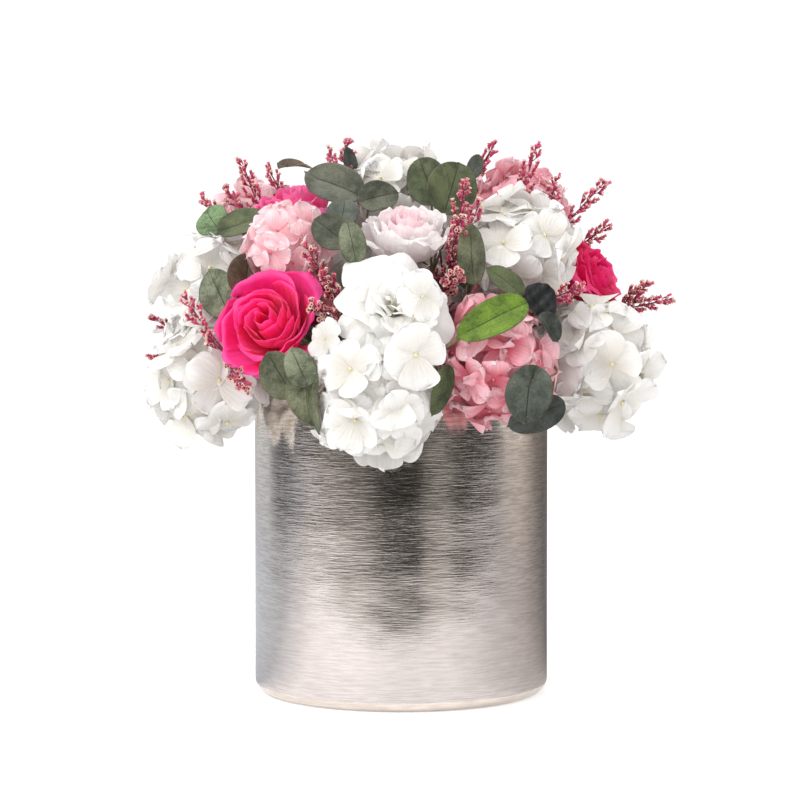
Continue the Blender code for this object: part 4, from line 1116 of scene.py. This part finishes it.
def arc(x, z, width, height, start, end, steps):
    """Points of an ellipse round x, z, from one angle to another, in degrees."""
    turn = np.radians(np.linspace(start, end, steps))
    return np.stack([x + width * np.cos(turn), z + height * np.sin(turn)], axis=-1)


# The vase's inner fillet, the tiny hole that its mesh leaves at the axis, and how many sides it has
FLOOR_ROUND = 0.004
AXIS_HOLE = 0.0004
VASE_SIDES = 240


def make_vase(material):
    """The turned shell, with a softly rounded foot and rim, fine enough to look round."""
    inner = VASE_RADIUS - VASE_WALL
    shoulder = VASE_HEIGHT - RIM_ROUND
    corner = (inner - FLOOR_ROUND, VASE_FLOOR + FLOOR_ROUND, FLOOR_ROUND, FLOOR_ROUND)
    foot = (VASE_RADIUS - BASE_ROUND, BASE_ROUND, BASE_ROUND, BASE_ROUND)
    profile = np.concatenate([
        [(AXIS_HOLE, VASE_FLOOR)],
        arc(*corner, -90, 0, 6),
        [(inner, z) for z in np.linspace(0.02, shoulder, 6)],
        arc(VASE_RADIUS - VASE_WALL / 2, shoulder, VASE_WALL / 2, RIM_ROUND, 160, 20, 8),
        [(VASE_RADIUS, z) for z in np.linspace(shoulder, BASE_ROUND, 24)],
        arc(*foot, -9, -90, 10),
        [(0.060, 0.0), (0.030, 0.0), (AXIS_HOLE, 0.0)],
    ])
    turn = np.linspace(0, math.tau, VASE_SIDES, endpoint=False)
    points = swept(profile[:, :1], profile[:, 1:], turn)
    build = Build()
    build.grid(points[::-1], closed=True)
    build.piece("vase_brushed", [material], "vase")


class Value:
    """What a node computes. Sums and products with it make more nodes."""

    def __init__(self, shade, socket):
        self.shade, self.socket = shade, socket

    def __add__(self, other):
        return self.shade.math("ADD", self, other)

    def __sub__(self, other):
        return self.shade.math("SUBTRACT", self, other)

    def __rsub__(self, other):
        return self.shade.math("SUBTRACT", other, self)

    def __mul__(self, other):
        return self.shade.math("MULTIPLY", self, other)


class Shade:
    """The nodes of a new material, or of a world. Inputs may be numbers, colours or values."""

    def __init__(self, owner, shader="Principled BSDF", **sockets):
        self.owner = bpy.data.materials.new(owner) if isinstance(owner, str) else owner
        self.owner.use_nodes = True
        self.tree = self.owner.node_tree
        self.shader = self.tree.nodes[shader]
        self.set(**sockets)

    def set(self, **sockets):
        """Sets the shader's sockets, named in small letters with underscores."""
        for key, value in sockets.items():
            self.put(self.shader.inputs[key.replace("_", " ").title().replace("Ior", "IOR")], value)

    def put(self, socket, value):
        if isinstance(value, Value):
            self.tree.links.new(value.socket, socket)
        elif socket.type == "RGBA":
            socket.default_value = (*value, 1.0)
        else:
            socket.default_value = value

    def node(self, kind, inputs=(), output=0, **settings):
        """What a new node computes from these inputs, which are given by name or number."""
        node = self.tree.nodes.new("ShaderNode" + kind)
        for key, value in settings.items():
            setattr(node, key, value)
        for key, value in dict(inputs).items():
            self.put(node.inputs[key], value)
        return Value(self, node.outputs[output])

    def math(self, operation, *values):
        return self.node("Math", enumerate(values), operation=operation)

    def span(self, value, low, high, to_low=0.0, to_high=1.0):
        """Value from low to high, smoothly turned into to_low to to_high."""
        ends = enumerate((value, low, high, to_low, to_high))
        return self.node("MapRange", ends, interpolation_type="SMOOTHSTEP")

    def mix(self, factor, a, b, blend="MIX"):
        return self.node("Mix", {0: factor, 6: a, 7: b}, 2, data_type="RGBA", blend_type=blend)

    def value(self, name, output="Fac"):
        return self.node("Attribute", output=output, attribute_name=name)

    def place(self, *scale):
        """Where a point is on the object, stretched where a scale is given."""
        point = self.node("TexCoord", output="Object")
        return self.node("Mapping", {"Vector": point, "Scale": scale}) if scale else point

    def noise(self, vector, scale, detail=2.0, rough=0.5):
        inputs = {"Vector": vector, "Scale": scale, "Detail": detail, "Roughness": rough}
        return self.node("TexNoise", inputs, "Fac")

    def finish(self, colour, height, deep, strength, through=None, share=0.0):
        """The material with its colour and relief. Some light goes through if a colour is given."""
        relief = {"Height": height, "Distance": deep, "Strength": strength}
        normal = self.node("Bump", relief)
        self.set(base_color=colour, normal=normal)
        if through is not None:
            glow = self.node("BsdfTranslucent", {"Color": through, "Normal": normal})
            shader = Value(self, self.shader.outputs[0])
            both = self.node("MixShader", {0: share, 1: shader, 2: glow})
            self.put(self.tree.nodes["Material Output"].inputs["Surface"], both)
        return self.owner


def petal_material(name, deep, body, rim, veins, share, inner=None):
    """Silky petal: deeper at its root, partly its own colour and partly painted shade in the creases, paler
    at its rim, partly its own colour and partly a painted highlight, finely veined and faintly mottled.
    """
    shade = Shade(name, roughness=0.52, sheen_weight=0.25, sheen_roughness=0.4)
    along, across, tint, depth = map(shade.value, ("along", "across", "tint", "depth"))
    place = shade.place()
    cloud = shade.noise(place, 170.0, 3.0)
    grain = shade.noise(place, 1500.0)
    rise = along + cloud * 0.22
    # The root colour spreads up the petal: partly its own colour, partly painted shade where petals meet
    colour = shade.mix(shade.span(rise, 0.18, 0.85), deep, body)
    # The rim colour at the edge: partly its own colour, partly a painted highlight along the rim
    colour = shade.mix(shade.span(rise, 0.88, 1.16, 0.0, 0.85), colour, rim)
    if inner is not None:
        colour = shade.mix(shade.span(depth, 0.55, 0.15, 0.0, 0.85), colour, inner)
    colour = shade.mix(shade.span(tint, 0.55, 1.0, 0.0, 0.38), colour, rim)
    colour = shade.mix(shade.span(tint, 0.50, 0.0, 0.0, 0.12), colour, deep)
    colour = shade.mix(shade.span(grain, 0.35, 0.75, 0.0, 0.06), colour, deep)
    vein = (shade.math("SINE", across * 24.0 + cloud * 7.0) + 1.0) * 0.5
    vein = shade.math("POWER", vein, 3.0)
    colour = shade.mix(vein * shade.span(along, 1.05, 0.25) * veins, colour, deep)
    through = shade.mix(0.35, colour, rim)
    return shade.finish(colour, vein * -0.32 + grain * 0.5 + cloud, 0.00050, 0.70, through, share)


def leaf_material(name):
    """Matt leaf: dark mottling, a fine dark midrib, faint side veins and a brown rim."""
    shade = Shade(name, roughness=0.50, specular_ior_level=0.35)
    along, across, back = map(shade.value, ("along", "across", "depth"))
    tone = shade.value("tone", "Vector")
    side = shade.math("ABSOLUTE", across)
    place = shade.place()
    cloud = shade.noise(place, 150.0, 5.0, 0.65)
    patch = shade.noise(place, 60.0)
    speck = shade.noise(place, 1100.0, 3.0, 0.6)
    dark = shade.mix(1.0, tone, (0.42, 0.44, 0.38), "MULTIPLY")
    light = shade.mix(1.0, tone, (1.70, 1.65, 1.60), "MULTIPLY")
    colour = shade.mix(shade.span(cloud, 0.36, 0.66), dark, tone)
    colour = shade.mix(shade.span(patch, 0.42, 0.72, 0.0, 0.60), colour, light)
    colour = shade.mix(shade.span(speck, 0.30, 0.60, 0.45, 0.0), colour, (0.015, 0.020, 0.012))
    colour = shade.mix(back * 0.30, colour, (0.20, 0.22, 0.17))
    ribs = shade.math("SINE", along * 26.0 - side * 8.0 + cloud * 9.0)
    ribs = 1.0 - shade.math("POWER", shade.math("ABSOLUTE", ribs), 0.30)
    colour = shade.mix(ribs * 0.16, colour, light)
    midrib = shade.span(side, 0.042, 0.008) * shade.span(along, 1.0, 0.70)
    colour = shade.mix(midrib * 0.80, colour, (0.020, 0.022, 0.014))
    rim = shade.span(side + (cloud - 0.5) * 0.10, 0.94, 1.0, 0.0, 0.60)
    colour = shade.mix(rim, colour, (0.110, 0.080, 0.045))
    height = ribs * 0.5 + speck * 0.5 + midrib * -1.2 + cloud * 1.6
    return shade.finish(colour, height, 0.00030, 0.7)


def stem_material(name, dark, light):
    shade = Shade(name, roughness=0.6)
    streak = shade.noise(shade.place(1.0, 1.0, 0.3), 700.0, 3.0)
    colour = shade.mix(shade.span(streak, 0.3, 0.7), dark, light)
    return shade.finish(colour, streak, 0.0003, 0.6)


def eye_material(name, dark, light):
    shade = Shade(name, roughness=0.5)
    grain = shade.noise(shade.place(), 1800.0)
    colour = shade.mix(shade.span(grain, 0.35, 0.65), dark, light)
    return shade.finish(colour, grain, 0.0004, 0.8)


def spray_material(name):
    """Sea lavender: wine-red stems and cups, with cream papery tips."""
    shade = Shade(name, roughness=0.6)
    along, tint, is_bud = map(shade.value, ("along", "tint", "depth"))
    grain = shade.noise(shade.place(), 1400.0)
    stem = shade.mix(shade.span(grain, 0.3, 0.7), (0.200, 0.020, 0.055), (0.330, 0.050, 0.100))
    cup = shade.mix(tint, (0.310, 0.008, 0.070), (0.620, 0.055, 0.180))
    tip = shade.mix(shade.span(tint, 0.35, 0.75), (0.860, 0.640, 0.520), (0.740, 0.220, 0.280))
    cup = shade.mix(shade.span(along, 0.62, 0.86), cup, tip)
    colour = shade.mix(is_bud, stem, cup)
    return shade.finish(colour, grain, 0.0003, 0.6, colour, 0.15)


def foam_material(name):
    shade = Shade(name, roughness=0.9)
    pores = shade.noise(shade.place(), 1300.0, 4.0, 0.7)
    cloud = shade.noise(shade.place(), 60.0, 3.0)
    colour = shade.mix(shade.span(cloud, 0.3, 0.7), (0.045, 0.075, 0.035), (0.090, 0.120, 0.060))
    colour = shade.mix(shade.span(pores, 0.5, 0.3), colour, (0.015, 0.022, 0.012))
    return shade.finish(colour, pores, 0.0008, 0.8)


def vase_material(name):
    """Champagne metal, brushed round its wall with short fine strokes, deeper near the rim; their stronger
    colour higher up is partly painted reflection contrast.
    """
    shade = Shade(name, metallic=1.0, anisotropic=0.50, anisotropic_rotation=0.25)
    fine = shade.noise(shade.place(100.0, 100.0, 1350.0), 1.0, 3.0, 0.58)
    coarse = shade.noise(shade.place(40.0, 40.0, 620.0), 1.0)
    wave = shade.noise(shade.place(30.0, 30.0, 40.0), 1.0, 1.0)
    wear = shade.noise(shade.place(), 28.0, 3.0)
    height = shade.node("SeparateXYZ", {0: shade.place()}, "Z")
    # Strokes grow stronger up the wall. In relief this is the brushing; in colour it is partly the brushing
    # and partly painted reflection contrast
    deep = shade.span(height, 0.025, 0.110, 0.42, 1.60)
    strokes = (fine * 0.75 + coarse * 0.25 - 0.5) * deep
    colour = shade.mix(shade.span(strokes, -0.10, 0.10), (0.740, 0.660, 0.600), (0.990, 0.893, 0.816))
    colour = shade.mix(shade.span(wear, 0.45, 0.75, 0.0, 0.15), colour, (0.840, 0.715, 0.640))
    shade.set(
        roughness=shade.span(strokes, -0.10, 0.10, 0.07, 0.12),
        tangent=shade.node("Tangent", direction_type="RADIAL", axis="Z"),
    )
    return shade.finish(colour, strokes + wave * 6.0, 0.00010, 0.90)


# A petal's colour at its root, deeper partly by its own colour and partly as painted shade in the creases,
# over most of it, and at its rim, paler partly by its own colour and partly as a painted highlight, how much
# its veins show, the share of light that it lets through, and for some the colour of the heart
PETAL_TONES = {
    "white": ((0.760, 0.725, 0.660), (0.895, 0.885, 0.868), (0.935, 0.930, 0.922), 0.14, 0.30),
    "rose_white": ((0.930, 0.900, 0.740), (0.920, 0.916, 0.896), (0.945, 0.943, 0.935), 0.08, 0.36),
    "hot_pink": ((0.780, 0.000, 0.110), (0.990, 0.010, 0.240), (0.990, 0.115, 0.450), 0.28, 0.40),
    # A darker copy of hot pink: painted shade on the rose at the right
    "crimson": ((0.480, 0.000, 0.045), (0.860, 0.004, 0.135), (0.920, 0.050, 0.270), 0.20, 0.28),
    "rose_pink": ((0.780, 0.030, 0.220), (0.960, 0.110, 0.390), (0.980, 0.320, 0.600), 0.25, 0.34),
    "pale_pink": (
        (0.930, 0.800, 0.790), (0.955, 0.925, 0.920), (0.960, 0.945, 0.940), 0.14, 0.42, (0.975, 0.700, 0.755)
    ),
    "salmon": ((0.910, 0.440, 0.490), (0.975, 0.750, 0.785), (0.980, 0.870, 0.885), 0.24, 0.38),
    "soft_pink": ((0.700, 0.110, 0.170), (0.935, 0.510, 0.570), (0.965, 0.780, 0.815), 0.30, 0.32),
    "deep_pink": ((0.740, 0.180, 0.240), (0.955, 0.540, 0.610), (0.970, 0.800, 0.830), 0.30, 0.34),
}

# Blooms whose petals differ from their slot's plain colour; the right hot pink rose takes a darker copy of
# hot pink, which is painted shade
OWN_TONES = {
    "rose_white_front": "rose_white",
    # The right hot pink rose: its darker tone is painted shade
    "rose_hot_pink_right": "crimson",
    "hydrangea_pink_upper_left": "salmon",
    "hydrangea_pink_left_back": "salmon",
    "hydrangea_pink_upper_right": "deep_pink",
    "hydrangea_pink_right_low": "soft_pink",
    "hydrangea_pink_back": "soft_pink",
}


def make_all():
    LEAF_SKINS.extend(leaf_skins())
    petals = {name: petal_material("petal_" + name, *tones) for name, tones in PETAL_TONES.items()}
    green_stem = stem_material("stem_green", (0.090, 0.140, 0.040), (0.220, 0.280, 0.110))
    twig = stem_material("twig_brown", (0.080, 0.065, 0.035), (0.200, 0.170, 0.100))
    eye = {
        "white": eye_material("eye_cream", (0.640, 0.500, 0.180), (0.860, 0.820, 0.560)),
        "pink": eye_material("eye_rosy", (0.520, 0.060, 0.110), (0.820, 0.330, 0.360)),
    }
    stalk = {
        "white": stem_material("stalk_white", (0.560, 0.560, 0.430), (0.780, 0.770, 0.680)),
        "pink": stem_material("stalk_pink", (0.560, 0.100, 0.150), (0.780, 0.300, 0.340)),
    }
    for bloom in BLOOMS:
        petal = petals[OWN_TONES.get(bloom.name, bloom.colour)]
        if bloom.kind == "rose":
            make_rose(bloom, petal)
            make_calyx(bloom, green_stem)
        else:
            make_head(bloom, [petal, eye[bloom.colour], stalk[bloom.colour]])
    trunks = plan_trunks()
    leaf = leaf_material("leaf_eucalyptus")
    for name, leaves in SPRIGS.items():
        make_sprig(name, leaves, trunks[name], [leaf, twig])
    lavender = spray_material("sea_lavender")
    for name, tips in SPRAYS.items():
        make_spray(name, tips, trunks[name], lavender)
    make_vase(vase_material("vase_champagne"))
    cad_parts["foam"].material_slots[0].material = foam_material("foam_dry")


def floor_material():
    """White, and brighter far away, so that it meets the backdrop without a line."""
    shade = Shade("floor_white", roughness=0.9, specular_ior_level=0.0)
    far = shade.node("VectorMath", {0: shade.place()}, "Value", operation="LENGTH")
    seen = shade.node("LightPath", output="Is Camera Ray")
    glow = shade.span(far, 0.25, 1.4, 0.45, 0.82) * shade.span(seen, 0.0, 1.0, 0.45, 1.0)
    shade.set(base_color=(0.80, 0.80, 0.80), emission_color=(1.0, 1.0, 1.0), emission_strength=glow)
    return shade.owner


# How bright the walls and the table look in the vase's metal, by the direction from the vase.
# 0 degrees is straight towards the camera and 90 is +X.
WALLS = [
    (-180, 0.45), (-142, 0.62), (-122, 0.56), (-112, 0.34), (-98, 0.30), (-84, 0.46), (-62, 0.58),
    (-50, 0.56), (-40, 0.42), (-25, 0.34), (-12, 0.10), (12, 0.10), (20, 0.38), (32, 0.50), (42, 0.20),
    (54, 0.18), (66, 0.26), (84, 0.42), (102, 0.54), (115, 0.38), (128, 0.20), (150, 0.13), (180, 0.22),
]
TABLE = [
    (-180, 0.66), (-142, 0.66), (-98, 0.60), (-60, 1.10), (-24, 1.14), (0, 1.00), (30, 0.98), (65, 0.65),
    (102, 0.47), (120, 0.32), (142, 0.17), (180, 0.24),
]
TABLE_EDGE = 0.43
WALL_FAR = 1.60
WALL_TINT = np.array([1.02, 1.00, 0.96])
TABLE_TINT = np.array([0.985, 0.99, 1.04])

# The table's rings, and how wide its edge is blurred
TABLE_RINGS = (0.084, 0.20, 0.30, 0.36, 0.42, 0.48, 0.56, 0.66, 0.80, 1.00, 1.25, WALL_FAR)
EDGE_BLUR = 0.035

# The heights of the table and of the walls' top, and the roof's edge and hole as radius and height
TABLE_LEVEL = 0.0006
WALL_TOP = 0.90
ROOF_EDGE = (1.30, 1.60)
ROOF_HOLE = (0.40, 1.90)

# The room's tint at the left and the right of the camera
LEFT_TINT = np.array([-0.07, 0.0, 0.06])
RIGHT_TINT = np.array([0.02, -0.04, -0.08])


def make_room():
    """What only the metal sees: a pale table with a straight edge, and lighter and darker walls."""
    angles = np.arange(-180, 181, 2)
    turn = np.radians(angles)
    wall = np.interp(angles, *zip(*WALLS))
    table = np.interp(angles, *zip(*TABLE))
    dim = 0.18 + 0.82 * np.clip((np.abs(angles + 18.0) - 92.0) / 14.0, 0, 1)
    edge = TABLE_EDGE / np.maximum(np.cos(turn), 0.30)
    none = 0.0 * turn
    rows = []
    for radius in TABLE_RINGS:
        share = 1.0 / (1.0 + np.exp((radius - edge) / EDGE_BLUR))
        far = wall * (1.0 + (dim - 1.0) * np.clip((radius - 0.9) / 0.7, 0, 1))
        # Close to the vase the table glows less, a painted shadow of the vase as the metal sees it; further
        # out it dims again
        near = table * min(0.86 + 0.45 * radius, 1.06 - 0.22 * radius)
        rows.append((radius, TABLE_LEVEL, far + (near - far) * share, share))
    rows.append((WALL_FAR, WALL_TOP, wall * dim, none))
    rows.append((*ROOF_EDGE, wall * dim * 0.5 + 0.2, none))
    rows.append((*ROOF_HOLE, none + 0.6, none))
    aside = np.sin(math.pi * np.clip((np.abs(turn) - 1.2) / (math.pi - 1.2), 0, 1))[:, None]
    lean = 1.0 + aside * np.where(turn[:, None] < 0, LEFT_TINT, RIGHT_TINT)
    points, glow = [], []
    for radius, z, level, share in rows:
        points.append(swept(radius, z, turn - math.pi / 2))
        glow.append(level[:, None] * (WALL_TINT + (TABLE_TINT - WALL_TINT) * share[:, None]) * lean)
    build = Build()
    build.grid(np.stack(points), tone=np.stack(glow))
    shade = Shade("room_glow", roughness=1.0, specular_ior_level=0.0, base_color=(0.0, 0.0, 0.0))
    shade.set(emission_color=shade.value("tone", "Vector"), emission_strength=1.0)
    room = build.object("room", [shade.owner])
    room.visible_camera = False
    room.visible_diffuse = False
    room.visible_transmission = False
    room.visible_shadow = False


# Name, place, height of the point it faces on the axis, size, power, and whether the metal shows it
LIGHTS = [
    ("soft_left", (-1.3, -1.2, 1.5), 0.18, 1.3, 34.0, True),
    ("soft_right", (1.5, -0.6, 1.2), 0.18, 1.0, 9.5, True),
    ("soft_top", (0.0, 0.3, 1.8), 0.15, 1.4, 16.0, True),
    ("soft_front", (-0.3, -2.4, 0.9), 0.20, 1.6, 11.0, False),
]


def make_lights():
    for name, place, aim, size, power, in_metal in LIGHTS:
        light = bpy.data.lights.new(name, "AREA")
        light.shape = "SQUARE"
        light.size = size
        light.energy = power
        obj = new_object(name, light)
        obj.location = place
        facing = Vector((0.0, 0.0, aim)) - Vector(place)
        obj.rotation_euler = facing.to_track_quat("-Z", "Y").to_euler()
        obj.visible_glossy = in_metal


# The photograph's view: the camera's place, how far it looks down and turns, in degrees, and its lens
CAMERA_PLACE = (0.0, -1.2046, 0.1981)
CAMERA_DOWN = 1.858
CAMERA_TURN = 0.030
CAMERA_LENS = 99.0


def make_camera():
    camera = bpy.data.cameras.new("camera")
    camera.sensor_width = 36.0
    camera.lens = CAMERA_LENS
    camera.clip_start = 0.05
    obj = new_object("camera", camera)
    obj.location = CAMERA_PLACE
    obj.rotation_euler = (math.radians(90.0 - CAMERA_DOWN), 0.0, math.radians(CAMERA_TURN))
    bpy.context.scene.camera = obj


def make_stage():
    mesh = bpy.data.meshes.new("floor")
    far = 6.0
    corners = [(-far, -far, 0), (far, -far, 0), (far, far, 0), (-far, far, 0)]
    mesh.from_pydata(corners, [], [(0, 1, 2, 3)])
    mesh.materials.append(floor_material())
    new_object("floor", mesh)
    make_room()
    make_lights()
    world = Shade(bpy.data.worlds.new("studio"), "Background", color=(1.0, 1.0, 1.0))
    seen = world.node("LightPath", output="Is Camera Ray")
    ends = {"Value": seen, "To Min": 0.58, "To Max": 1.05}
    world.set(strength=world.node("MapRange", ends))
    bpy.context.scene.world = world.owner
    make_camera()
    settings = bpy.context.scene.view_settings
    settings.view_transform = "Standard"
    settings.look = "None"
    settings.exposure = 0.0
    settings.gamma = 1.0


make_stage()
make_all()
